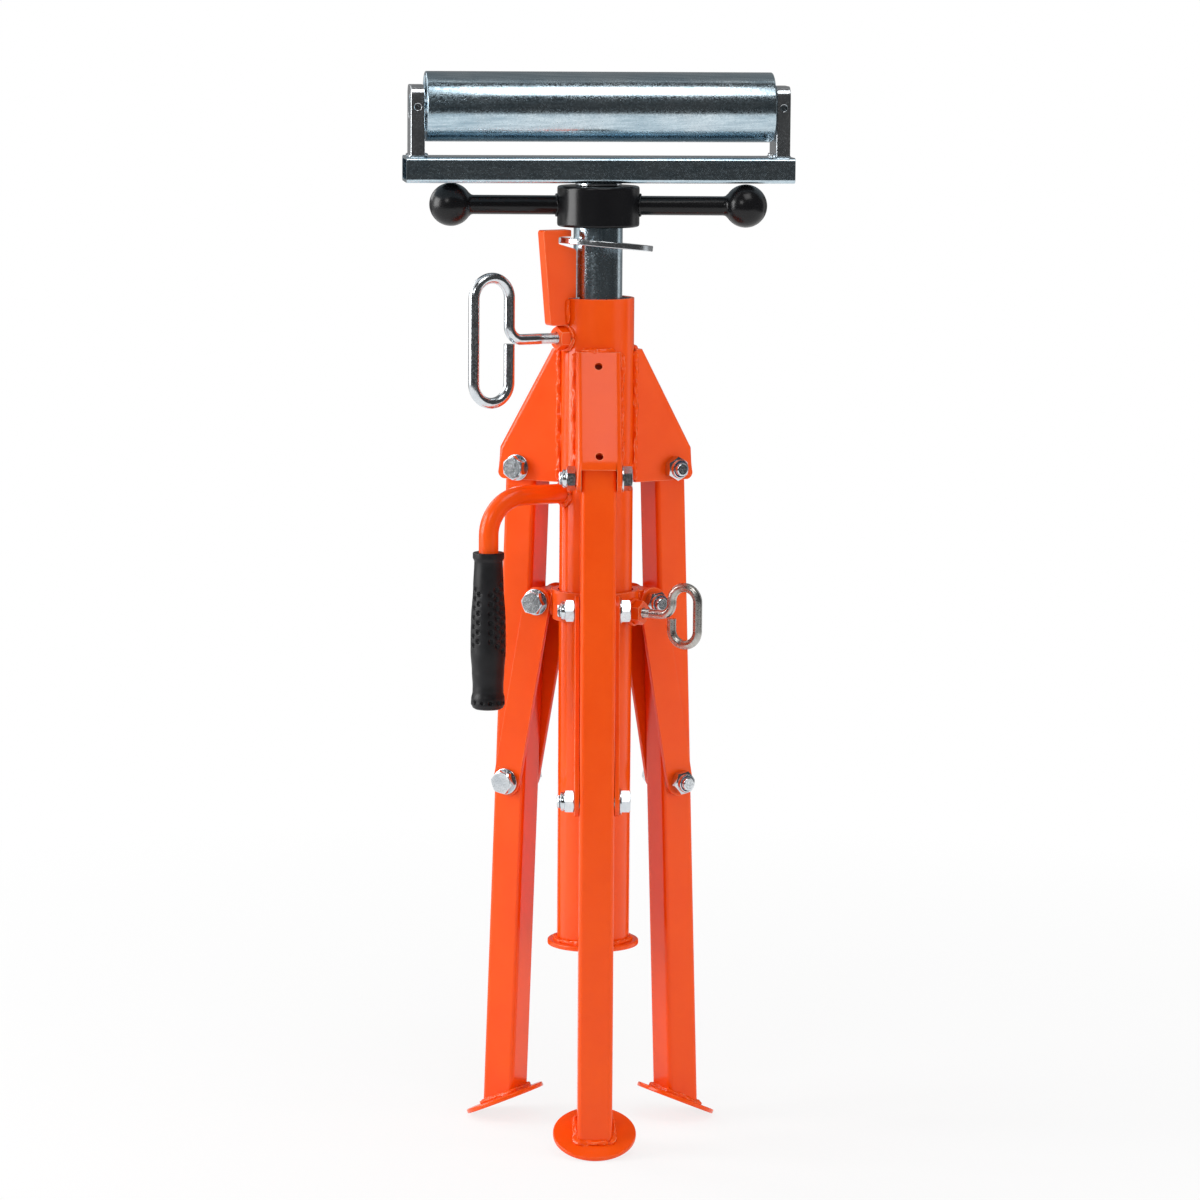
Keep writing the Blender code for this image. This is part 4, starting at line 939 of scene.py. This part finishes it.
hook = dict(thickness=10.0 * mm, top=794.0 * mm, bottom=712.0 * mm, topReach=58.0 * mm, bottomReach=50.0 * mm,
            lip=5.8 * mm, lipReach=30.0 * mm, slotReach=42.6 * mm, inner=24.7 * mm, edge=0.8 * mm,
            corner=3.0 * mm, inCorner=1.5 * mm, lipCorner=0.5 * mm, footCorner=1.0 * mm)
hookWeld = dict(width=2.4 * mm, out=0.8 * mm, aside=0.5 * mm, inset=1.0 * mm, below=0.4 * mm)
lockRing = dict(radius=43.5 * mm, offset=5.0 * mm, thickness=5.0 * mm, tilt=radians(6.0), hole=22.6 * mm,
                edge=0.8 * mm, holeEdge=0.4 * mm, slotPlay=0.5 * mm)
slotTop = hook["top"] - hook["lip"]
slotHalf = lockRing["thickness"] / 2 + lockRing["slotPlay"]
hookFoot = tube["top"] + seatGap
hookSeat = tube["radius"] + seatGap + hook["thickness"] ** 2 / (8 * tube["radius"])


def hookPlate():
    big, small, foot = hook["corner"], hook["inCorner"], hook["footCorner"]
    slotBottom = slotTop - 2 * slotHalf
    corners = [((hook["topReach"], hook["top"]), big), ((hook["lipReach"], hook["top"]), small),
               ((hook["lipReach"], slotTop), hook["lipCorner"]), ((hook["slotReach"], slotTop), small),
               ((hook["slotReach"], slotBottom), small),
               ((hook["inner"], slotBottom - lockRing["thickness"]), big), ((hook["inner"], hookFoot), foot),
               ((hookSeat, hookFoot), 0), ((hookSeat, hook["bottom"]), foot),
               ((hook["bottomReach"], hook["bottom"]), big)]
    points, radii = zip(*corners)
    outline = roundCorners(points, radii, 5, 0.48)
    plate = addPiece("hookPlate", prism("hookPlate", outline, hook["thickness"] / 2), orangeCoat)
    roundEdges(plate, hook["edge"], segments=3, angle=60)
    plate.data.transform(planeAt(hookDirection))
    settle(plate, "stand_frame", "orange_coat", "hook_plate")


def hookWelds():
    # down both sides and across the bottom
    inset = hookWeld["inset"]
    x = hookSeat + hookWeld["out"]
    y = hook["thickness"] / 2 + hookWeld["aside"]
    low, high = hook["bottom"] + inset, hookFoot - inset
    across = hook["bottom"] - hookWeld["below"]
    lines = [[(x, y, low), (x, y, high)], [(x, -y, low), (x, -y, high)],
             [(hookSeat + inset, y - inset, across), (hookSeat + inset, inset - y, across)]]
    for number, line in enumerate(lines, 1):
        weldBead("hookWeld" + str(number), planeAt(hookDirection), line, "stand_frame", hookWeld["width"],
                 9 + line[0][1] * 900, outward=True)


def lockRingPiece():
    half = lockRing["thickness"] / 2
    hingeReach = lockRing["radius"] - lockRing["offset"]
    hinge = planeAt(hookDirection, slotTop - slotHalf, hingeReach, -lockRing["tilt"])
    ring = turned("lockRing", discProfile(lockRing["radius"], -half, half), lockRing["edge"], zincBright,
                  Matrix.Translation((-lockRing["radius"], 0, 0)), 128, False)
    centre = Matrix.Translation((-hingeReach / cos(lockRing["tilt"]), 0, 0))
    cutAway(ring, [hole(lockRing["hole"], -half * 2, half * 2, centre, 96)])
    roundEdges(ring, lockRing["holeEdge"], segments=2, angle=60)
    ring.data.transform(hinge)
    settle(ring, "lock_ring", "zinc_plate", "lock_ring")


hookPlate()
hookWelds()
lockRingPiece()

# Carry handle and grip

carryBar = dict(radius=8.5 * mm, height=566.0 * mm, reach=105.0 * mm, bend=33.0 * mm, tail=4.0 * mm,
                step=12.0 * mm, weldOut=1.1 * mm, weld=2.4 * mm)
grip = dict(top=518.5 * mm, length=136.0 * mm, flange=13.6 * mm, neck=12.3 * mm, belly=15.2 * mm,
            waist=13.3 * mm, end=14.7 * mm, spacing=0.55 * mm, facets=150, play=0.2 * mm, inset=0.3 * mm,
            columns=16, plainColumn=15, turn=radians(8.4), rowMiddle=463.0 * mm, pitch=8.1 * mm,
            dimple=2.4 * mm, depth=2.0 * mm, endRow=389.0 * mm, endColumns=12, endDimple=1.9 * mm)


def carryHandle():
    plane = planeAt(handleDirection)
    reach, height, bend = carryBar["reach"], carryBar["height"], carryBar["bend"]
    outline = [(tube["radius"] + seatGap, height), (reach - bend, height)]
    outline += arcPoints((reach - bend, height - bend), bend, pi / 2, 0)[1:]
    outline.append((reach, grip["top"] - grip["length"] + carryBar["tail"]))
    path = densePath([Vector((x, 0, z)) for x, z in outline], carryBar["step"])
    bar = sweep("carryHandle", path, lambda run, turn: carryBar["radius"], 48)
    settle(addPiece("carryHandle", bar, orangeCoat, plane), "stand_frame", "orange_coat", "carry_handle")
    seam = saddlePath(tube["radius"], carryBar["radius"] + carryBar["weldOut"], height)
    weldBead("handleWeld", plane, seam, "stand_frame", carryBar["weld"], 7, outward=True)


def gripProfile():
    # millimetres below the top, a radius and its change
    flange, neck, belly, waist, end = (grip[key] for key in ("flange", "neck", "belly", "waist", "end"))
    stations = [(0.0, flange, -0.6), (0.5, flange, 0), (4.8, flange, 0), (6.2, neck, 0.6), (7.5, neck, 0),
                (30.0, neck, 0.9), (58.0, belly, -0.3), (72.0, belly, 0), (86.0, belly, 0),
                (104.0, waist, 0.7), (116.0, waist, 0), (121.0, waist, 0.1),
                (127.0, end, -0.2), (131.5, end, 0), (134.5, end, -1.3), (136.0, end, -3.4)]
    return [(drop * mm, radius + change * mm) for drop, radius, change in stations]


def gripRadius(drop, profile):
    # an easy curve between the stations
    for (above, first), (below, second) in zip(profile, profile[1:]):
        if above <= drop <= below:
            share = (drop - above) / (below - above)
            return first + (second - first) * share * share * (3 - 2 * share)
    return profile[-1][1]


def columnOffset(facing, columns, radius):
    # the distance round the grip from the middle of the nearest of its columns
    return ((facing / (2 * pi) * columns + 0.5) % 1 - 0.5) * 2 * pi / columns * radius


def dimpleDepth(turn, height, radius):
    # staggered columns of dimples round the belly, one column left plain, and a row at the end
    facing = (turn + pi / 2 - grip["turn"]) % (2 * pi)
    column = round(facing / (2 * pi) * grip["columns"]) % grip["columns"]
    across = columnOffset(facing, grip["columns"], radius)
    depth = 0.0
    rows = 6 + min(column, grip["columns"] - 2 - column, 3)
    if column != grip["plainColumn"]:
        shifted = (height - grip["rowMiddle"]) / grip["pitch"] + (rows - 1) / 2
        if -0.5 < shifted < rows - 0.5:
            along = (shifted - round(shifted)) * grip["pitch"]
            away = sqrt(across * across + along * along) / grip["dimple"]
            depth = grip["depth"] * max(0.0, 1 - away ** 4)
    endAcross = columnOffset(facing, grip["endColumns"], radius)
    endAway = sqrt(endAcross ** 2 + (height - grip["endRow"]) ** 2) / grip["endDimple"]
    return max(depth, grip["depth"] * max(0.0, 1 - endAway ** 4))


def handleGrip():
    profile = gripProfile()
    steps = ceil(grip["length"] / grip["spacing"])
    facets = grip["facets"]
    loops = [circleLoop(carryBar["radius"] + grip["play"], grip["top"] - grip["inset"], facets)]
    for step in range(steps + 1):
        drop = grip["length"] * step / steps
        base = gripRadius(drop, profile)
        loop = []
        for i in range(facets):
            turn = 2 * pi * i / facets
            radius = base - dimpleDepth(turn + handleDirection, grip["top"] - drop, base)
            loop.append(Vector((radius * cos(turn), radius * sin(turn), grip["top"] - drop)))
        loops.append(loop)
    sleeve = addPiece("handleGrip", skin("handleGrip", loops, smoothAngle=50), gripRubber,
                      planeAt(handleDirection, 0, carryBar["reach"]))
    settle(sleeve, "stand_frame", "grip_rubber", "handle_grip")


carryHandle()
handleGrip()
print("lock and handle made")

# Mast

mast = dict(radius=21.2 * mm, wall=3.0 * mm, bottom=300.9 * mm, top=810.9 * mm, edge=0.5 * mm,
            ring=18.0 * mm, ringRadius=28.25 * mm, ringEdge=1.0 * mm,
            washer=2.0 * mm, washerBore=15.5 * mm, washerEdge=0.3 * mm)
mastProfile = pipeProfile(mast["radius"], mast["radius"] - mast["wall"], mast["bottom"], mast["top"])
mastTube = turned("mastTube", mastProfile, mast["edge"], zincAlongZ, planeAt(0), 128)
settle(mastTube, "mast", "zinc_plate", "mast_tube")
ringProfile = pipeProfile(mast["ringRadius"], mast["radius"] + seatGap, mast["bottom"],
                          mast["bottom"] + mast["ring"])
footRing = turned("mastFootRing", ringProfile, mast["ringEdge"], guidePlastic, planeAt(0))
settle(footRing, "mast", "guide_plastic", "mast_foot_ring")
washerBottom = mast["top"] + seatGap
washerProfile = pipeProfile(mast["radius"], mast["washerBore"], washerBottom, washerBottom + mast["washer"])
thrustWasher = turned("thrustWasher", washerProfile, mast["washerEdge"], steelPlain, planeAt(0))
settle(thrustWasher, "mast", "plain_steel", "thrust_washer")

# Handwheel nut

wheel = dict(bottom=796.0 * mm, height=35.0 * mm, radius=35.5 * mm, edge=2.6 * mm, bore=15.5 * mm,
             counterbore=21.7 * mm, shoulder=813.5 * mm, socket=7.5 * mm)
wheelArm = dict(radius=8.3 * mm, lift=18.2 * mm, reach=127.0 * mm, ball=18.6 * mm, flare=0.4 * mm,
                flareFrom=2.5 * mm, flareTo=0.8 * mm, weldOut=0.5 * mm, weldLift=0.3 * mm, weld=1.3 * mm)
wheelTop = wheel["bottom"] + wheel["height"]


def armProfile(start):
    # a rod that flares into its ball
    rod, ball, reach = wheelArm["radius"], wheelArm["ball"], wheelArm["reach"]
    join = asin(rod / ball)
    neck = reach - ball * cos(join)
    poles = [join + (pi - join) * i / 36 for i in range(2, 36)]
    profile = [(core, start), (rod, start), (rod, neck - wheelArm["flareFrom"]),
               (rod + wheelArm["flare"], neck - wheelArm["flareTo"])]
    profile += [(ball * sin(pole), reach - ball * cos(pole)) for pole in poles]
    return profile + [(core, reach + ball)]


def handwheelPieces():
    inner, bore, radius = wheel["counterbore"], wheel["bore"], wheel["radius"]
    profile = [(inner, wheel["shoulder"]), (inner, wheel["bottom"]), (radius, wheel["bottom"]),
               (radius, wheelTop), (bore, wheelTop), (bore, wheel["shoulder"])]
    hub = turned("handwheelHub", profile, wheel["edge"], blackEnamel, planeAt(0), 128, steps=6)
    start = radius - wheel["socket"]
    for title, node, side in reversed(twoEnds):
        turn = 0.0 if side > 0 else pi
        plane = planeAt(turn, wheel["bottom"] + wheelArm["lift"])
        cutAway(hub, [hole(wheelArm["radius"] + seatGap, start, radius * 2, plane @ alongX)])
        rod = lathe("handwheelArm", armProfile(start + seatGap), 72)
        arm = addPiece("handwheelArm" + title, rod, blackEnamel, plane @ alongX)
        settle(arm, "handwheel", "black_enamel", "handwheel_arm_" + node)
        reach = wheelArm["radius"] + wheelArm["weldOut"]
        bead = []
        for around in ringTurns:
            outward = sqrt(radius ** 2 - (wheelArm["radius"] * cos(around)) ** 2) + wheelArm["weldLift"]
            bead.append((outward, reach * cos(around), reach * sin(around)))
        weldBead("armWeld" + title, plane, bead, "handwheel", wheelArm["weld"], turn, True, blackEnamel,
                 "black_enamel")
    shadeFlat(hub)
    settle(hub, "handwheel", "black_enamel", "handwheel_hub")


handwheelPieces()

# Lift screw

liftScrew = dict(radius=15.0 * mm, length=190.0 * mm, flange=20.0 * mm, flangeThick=2.4 * mm, bore=10.5 * mm,
                 boreDepth=46.0 * mm, pitch=6.0 * mm, depth=2.4 * mm, edge=0.5 * mm, runOut=1.0 * mm,
                 facets=60)


def liftScrewPiece():
    radius, flange, bore, edge = (liftScrew[key] for key in ("radius", "flange", "bore", "edge"))
    root = radius - liftScrew["depth"]
    seat = wheelTop + seatGap
    top = seat + liftScrew["flangeThick"]
    bottom = top - liftScrew["length"]
    boreEnd = top - liftScrew["boreDepth"]
    facets = liftScrew["facets"]
    loops = [circleLoop(core, bottom, facets), circleLoop(root, bottom, facets)]
    runOut = liftScrew["runOut"]
    loops += threadLoops(radius, bottom + runOut, seat - runOut, liftScrew["pitch"], liftScrew["depth"],
                         facets)
    rim = [(root, seat - edge), (radius, seat), (flange - edge, seat), (flange, seat + edge),
           (flange, top - edge), (flange - edge, top), (bore, top), (bore, boreEnd), (core, boreEnd)]
    loops += [circleLoop(around, height, facets) for around, height in rim]
    piece = addPiece("liftScrew", skin("liftScrew", loops, smoothAngle=30), zincBright, planeAt(0))
    settle(piece, "lift_screw", "zinc_plate", "lift_screw")


liftScrewPiece()
print("mast and handwheel made")

# Roller head

beam = dict(half=167.5 * mm, depth=50.0 * mm, height=22.0 * mm, wall=2.5 * mm, corner=3.5 * mm,
            bottom=834.0 * mm, edge=0.4 * mm)
pin = dict(radius=10.0 * mm, length=43.0 * mm, edge=1.0 * mm)
ear = dict(inside=151.5 * mm, thickness=12.0 * mm, depth=40.0 * mm, corner=9.0 * mm, above=18.5 * mm,
           edge=0.7 * mm)
earWeld = dict(inner=1.4 * mm, outer=2.6 * mm, aside=0.5 * mm, inset=2.0 * mm, up=0.4 * mm)
grub = dict(radius=2.75 * mm, inset=5.0 * mm, play=0.15 * mm, socket=1.25 * mm, taper=0.05 * mm,
            socketDepth=2.0 * mm, clear=1.5 * mm, over=1.0 * mm)
roller = dict(length=300.0 * mm, radius=30.0 * mm, wall=3.0 * mm, edge=1.2 * mm, axle=10.0 * mm,
              axleEdge=0.8 * mm, axlePlay=0.2 * mm, height=898.5 * mm)
bearing = dict(radius=21.0 * mm, width=12.0 * mm, cap=14.0 * mm, inset=1.0 * mm, edge=0.6 * mm, race=3.0 * mm)
headPlane = planeAt(headYaw, roller["height"])


def beamPiece():
    half = beam["half"]
    outer = boxLoop(beam["height"] / 2, beam["depth"] / 2, beam["corner"])
    inner = boxLoop(beam["height"] / 2 - beam["wall"], beam["depth"] / 2 - beam["wall"],
                    beam["corner"] - beam["wall"])
    loops = [[Vector((x, y, end)) for x, y in outline]
             for outline, end in ((inner, -half), (outer, -half), (outer, half), (inner, half))]
    piece = addPiece("cradleBeam", skin("cradleBeam", loops, ring=True), zincAlongX)
    roundEdges(piece, beam["edge"], segments=2, angle=50)
    piece.data.transform(planeAt(headYaw, beam["bottom"] + beam["height"] / 2) @ alongX)
    settle(piece, "roller_head", "zinc_plate", "cradle_beam")
    pinTop = beam["bottom"] - seatGap
    pinPiece = turned("swivelPin", discProfile(pin["radius"], pinTop - pin["length"], pinTop), pin["edge"],
                      steelPlain, planeAt(headYaw), 64, False)
    settle(pinPiece, "roller_head", "plain_steel", "swivel_pin")


def grubScrew(title, spot):
    rim = grub["radius"] - grub["play"]
    front = ear["depth"] / 2 - grub["inset"]
    loops = [circleLoop(rim, roller["axle"] + grub["clear"]), circleLoop(rim, front),
             hexLoop(grub["socket"], lambda corner: front),
             hexLoop(grub["socket"] - grub["taper"], lambda corner: front - grub["socketDepth"])]
    screw = addPiece("grubScrew" + title, skin("grubScrew", loops, smoothAngle=30), steelPlain,
                     spot @ Matrix.Rotation(pi / 2, 4, "X"))
    settle(screw, "roller_head", "plain_steel")


def earPieces():
    half = ear["depth"] / 2
    foot = beam["bottom"] + beam["height"] + seatGap - roller["height"]
    corner = ear["corner"]
    outline = [(half, foot)] + arcPoints((half - corner, ear["above"] - corner), corner, 0, pi / 2)
    outline += arcPoints((corner - half, ear["above"] - corner), corner, pi / 2, pi) + [(-half, foot)]
    for title, node, sign in twoEnds:
        middle = sign * (ear["inside"] + ear["thickness"] / 2)
        spot = headPlane @ Matrix.Translation((middle, 0, 0))
        piece = addPiece("endEar" + title, prism("endEar", outline, ear["thickness"] / 2), zincBright)
        piece.data.transform(Matrix.Rotation(pi / 2, 4, "Z"))
        axleHole = hole(roller["axle"] + roller["axlePlay"], -ear["thickness"], ear["thickness"], alongX, 64)
        grubHole = hole(grub["radius"], -ear["depth"], -roller["axle"] - grub["over"], alongY)
        cutAway(piece, [axleHole, grubHole])
        roundEdges(piece, ear["edge"], segments=3, angle=50)
        piece.data.transform(spot)
        settle(piece, "roller_head", "zinc_plate", "end_ear_" + node)
        grubScrew(title, spot)
        for number, side in twoSides:
            x = middle + side * (ear["thickness"] / 2 + earWeld["aside"])
            y, z = half - earWeld["inset"], foot + earWeld["up"]
            line = [(x, -y, z), (x, y, z)]
            width = earWeld["inner"] if side == sign else earWeld["outer"]
            weldBead("earWeld" + title + str(number), headPlane, line, "roller_head", width, number + sign,
                     material=zincBright, slotName="zinc_plate")
    axleHalf = ear["inside"] + ear["thickness"]
    axle = turned("rollerAxle", discProfile(roller["axle"], -axleHalf, axleHalf), roller["axleEdge"],
                  steelPlain, headPlane @ alongX, 64, False)
    settle(axle, "roller_head", "plain_steel", "roller_axle")


def bearingPiece(title, node, middle):
    half = bearing["width"] / 2
    outer, inner, race = bearing["radius"], roller["axle"] + seatGap, bearing["race"]
    line = headPlane @ alongX
    piece = turned("rollerBearing" + title, pipeProfile(outer, inner, middle - half, middle + half),
                   bearing["edge"], steelPlain, line)
    # a groove between the two races on each face
    groove = pipeProfile(outer - race, inner + race, half * 0.8, half * 1.5)
    for way in (-1, 1):
        cutter = lathe("groove", [(radius, middle + way * along) for radius, along in groove], 96, True)
        cutter.transform(line)
        cutAway(piece, [cutter])
    shadeFlat(piece)
    settle(piece, "roller", "plain_steel", "roller_bearing_" + node)


def rollerPieces():
    end = roller["length"] / 2
    radius, wall = roller["radius"], roller["radius"] - roller["wall"]
    seat = bearing["radius"] + seatGap
    capOutside = end - bearing["inset"]
    capInside = capOutside - bearing["cap"]
    half = [(radius, end), (wall, end), (wall, capOutside), (seat, capOutside), (seat, capInside),
            (wall, capInside)]
    profile = half + [(around, -along) for around, along in reversed(half)]
    shell = turned("rollerTube", profile, roller["edge"], zincAlongX, headPlane @ alongX, 160)
    settle(shell, "roller", "zinc_plate", "roller_tube")
    for title, node, sign in twoEnds:
        bearingPiece(title, node, sign * (capInside + capOutside) / 2)


beamPiece()
earPieces()
rollerPieces()
print("roller head made")

# Camera

camera = dict(lens=143.3, away=4.12, side=-0.1233, height=1.0385, down=radians(7.84), heading=radians(1.77),
              roll=radians(0.44), sensor=36.0, clipEnd=50)
cameraData = bpy.data.cameras.new("camera")
cameraData.lens = camera["lens"]
cameraData.sensor_width = camera["sensor"]
cameraData.clip_end = camera["clipEnd"]
cameraObject = bpy.data.objects.new("camera", cameraData)
bpy.context.scene.collection.objects.link(cameraObject)
cameraPlace = Matrix.Translation((camera["side"], mastY - camera["away"], camera["height"]))
for angle, axis in ((-camera["heading"], "Z"), (pi / 2 - camera["down"], "X"), (camera["roll"], "Z")):
    cameraPlace = cameraPlace @ Matrix.Rotation(angle, 4, axis)
cameraObject.matrix_world = cameraPlace
bpy.context.scene.camera = cameraObject

# Floor

floorLook = dict(size=4.4, colour=(0.93, 0.93, 0.93, 1), roughness=0.6, glow=0.8, fadeFrom=0.3, fadeTo=1.5)


def makeFloor():
    mesh = bpy.data.meshes.new("floor")
    half = floorLook["size"] / 2
    corners = [(-half, -half, 0), (half, -half, 0), (half, half, 0), (-half, half, 0)]
    mesh.from_pydata(corners, [], [(0, 1, 2, 3)])
    floor = bpy.data.objects.new("floor", mesh)
    bpy.context.scene.collection.objects.link(floor)
    material, tree, shader = newMaterial("paleFloor")
    shader.inputs["Base Color"].default_value = floorLook["colour"]
    shader.inputs["Roughness"].default_value = floorLook["roughness"]
    # seen by the camera the floor fades into the white background, and keeps the shadow near the object
    rays = tree.nodes.new("ShaderNodeLightPath")
    seen = mathNode(tree, "MAXIMUM", rays.outputs["Is Camera Ray"], rays.outputs["Is Glossy Ray"])
    glow = tree.nodes.new("ShaderNodeEmission")
    glow.inputs["Color"].default_value = (1, 1, 1, 1)
    blend = tree.nodes.new("ShaderNodeMixShader")
    spot = tree.nodes.new("ShaderNodeTexCoord")
    reach = vectorNode(tree, "LENGTH", spot.outputs["Object"]).outputs["Value"]
    fade = rangeNode(tree, reach, floorLook["fadeFrom"], floorLook["fadeTo"], floorLook["glow"], 1.0)
    tree.links.new(mathNode(tree, "MULTIPLY", seen, fade), blend.inputs[0])
    tree.links.new(shader.outputs[0], blend.inputs[1])
    tree.links.new(glow.outputs[0], blend.inputs[2])
    tree.links.new(blend.outputs[0], tree.nodes["Material Output"].inputs["Surface"])
    mesh.materials.append(material)


makeFloor()

# Lights and background

lights = {
    "left": dict(place=(-2.6, -0.3, 1.2), size=1.6, power=56.0),
    "right": dict(place=(2.2, -0.8, 0.5), size=1.4, power=20.0, shines=False),
    "front": dict(place=(-1.2, -2.6, 2.0), size=0.7, power=9.0),
    "top": dict(place=(0.42, -1.35, 2.9), size=1.3, power=17.0),
    "rear": dict(place=(-1.9, 2.0, 1.8), size=1.4, power=16.0),
}
aimHeight = 0.5
# the studio seen in polished metal: white, with a soft dark card in front and a grey one behind
background = dict(diffuse=0.44, white=1.0)
cards = {
    "front": dict(middle=radians(22), halfWidth=radians(88), low=radians(-25), high=radians(90), level=0.05),
    "back": dict(middle=radians(180), halfWidth=radians(58), low=radians(-25), high=radians(90), level=0.22),
}
cardEdge = radians(7)


def areaLight(name, place, size, power, shines=True):
    data = bpy.data.lights.new(name, "AREA")
    data.size = size
    data.energy = power
    light = bpy.data.objects.new(name, data)
    bpy.context.scene.collection.objects.link(light)
    light.visible_glossy = shines    # whether bare metal mirrors the lamp
    aim = Vector((0, 0, aimHeight)) - Vector(place)
    light.matrix_world = Matrix.Translation(place) @ aim.to_track_quat("-Z", "Y").to_matrix().to_4x4()


def makeWorld():
    world = bpy.data.worlds.new("studio")
    bpy.context.scene.world = world
    world.use_nodes = True
    tree = world.node_tree
    rays = tree.nodes.new("ShaderNodeLightPath")
    coords = tree.nodes.new("ShaderNodeTexCoord")
    split = tree.nodes.new("ShaderNodeSeparateXYZ")
    tree.links.new(coords.outputs["Generated"], split.inputs[0])
    backward = mathNode(tree, "MULTIPLY", split.outputs["Y"], -1.0)
    around = mathNode(tree, "ARCTAN2", split.outputs["X"], backward)
    climb = mathNode(tree, "ARCSINE", split.outputs["Z"])
    level = background["white"]
    for card in cards.values():
        near = mathNode(tree, "COSINE", mathNode(tree, "SUBTRACT", around, card["middle"]))
        width = rangeNode(tree, near, cos(card["halfWidth"] + cardEdge), cos(card["halfWidth"] - cardEdge))
        above = rangeNode(tree, climb, card["low"] - cardEdge, card["low"] + cardEdge)
        below = rangeNode(tree, climb, card["high"] - cardEdge, card["high"] + cardEdge, 1.0, 0.0)
        mask = mathNode(tree, "MULTIPLY", width, mathNode(tree, "MULTIPLY", above, below))
        fall = mathNode(tree, "MULTIPLY", mask, background["white"] - card["level"])
        level = mathNode(tree, "SUBTRACT", level, fall, clamp=True)
    white = tree.nodes["Background"]
    soft = tree.nodes.new("ShaderNodeBackground")
    studio = tree.nodes.new("ShaderNodeBackground")
    for shader, strength in ((white, background["white"]), (soft, background["diffuse"]), (studio, level)):
        shader.inputs["Color"].default_value = (1, 1, 1, 1)
        feed(tree, shader.inputs["Strength"], strength)
    first = tree.nodes.new("ShaderNodeMixShader")
    tree.links.new(rays.outputs["Is Glossy Ray"], first.inputs[0])
    tree.links.new(soft.outputs[0], first.inputs[1])
    tree.links.new(studio.outputs[0], first.inputs[2])
    second = tree.nodes.new("ShaderNodeMixShader")
    direct = mathNode(tree, "MAXIMUM", rays.outputs["Is Camera Ray"], rays.outputs["Is Transmission Ray"])
    tree.links.new(direct, second.inputs[0])
    tree.links.new(first.outputs[0], second.inputs[1])
    tree.links.new(white.outputs[0], second.inputs[2])
    tree.links.new(second.outputs[0], tree.nodes["World Output"].inputs["Surface"])


for name, light in lights.items():
    areaLight(name, **light)
makeWorld()
bpy.context.scene.view_settings.view_transform = "Standard"
print("camera, floor and lights made")
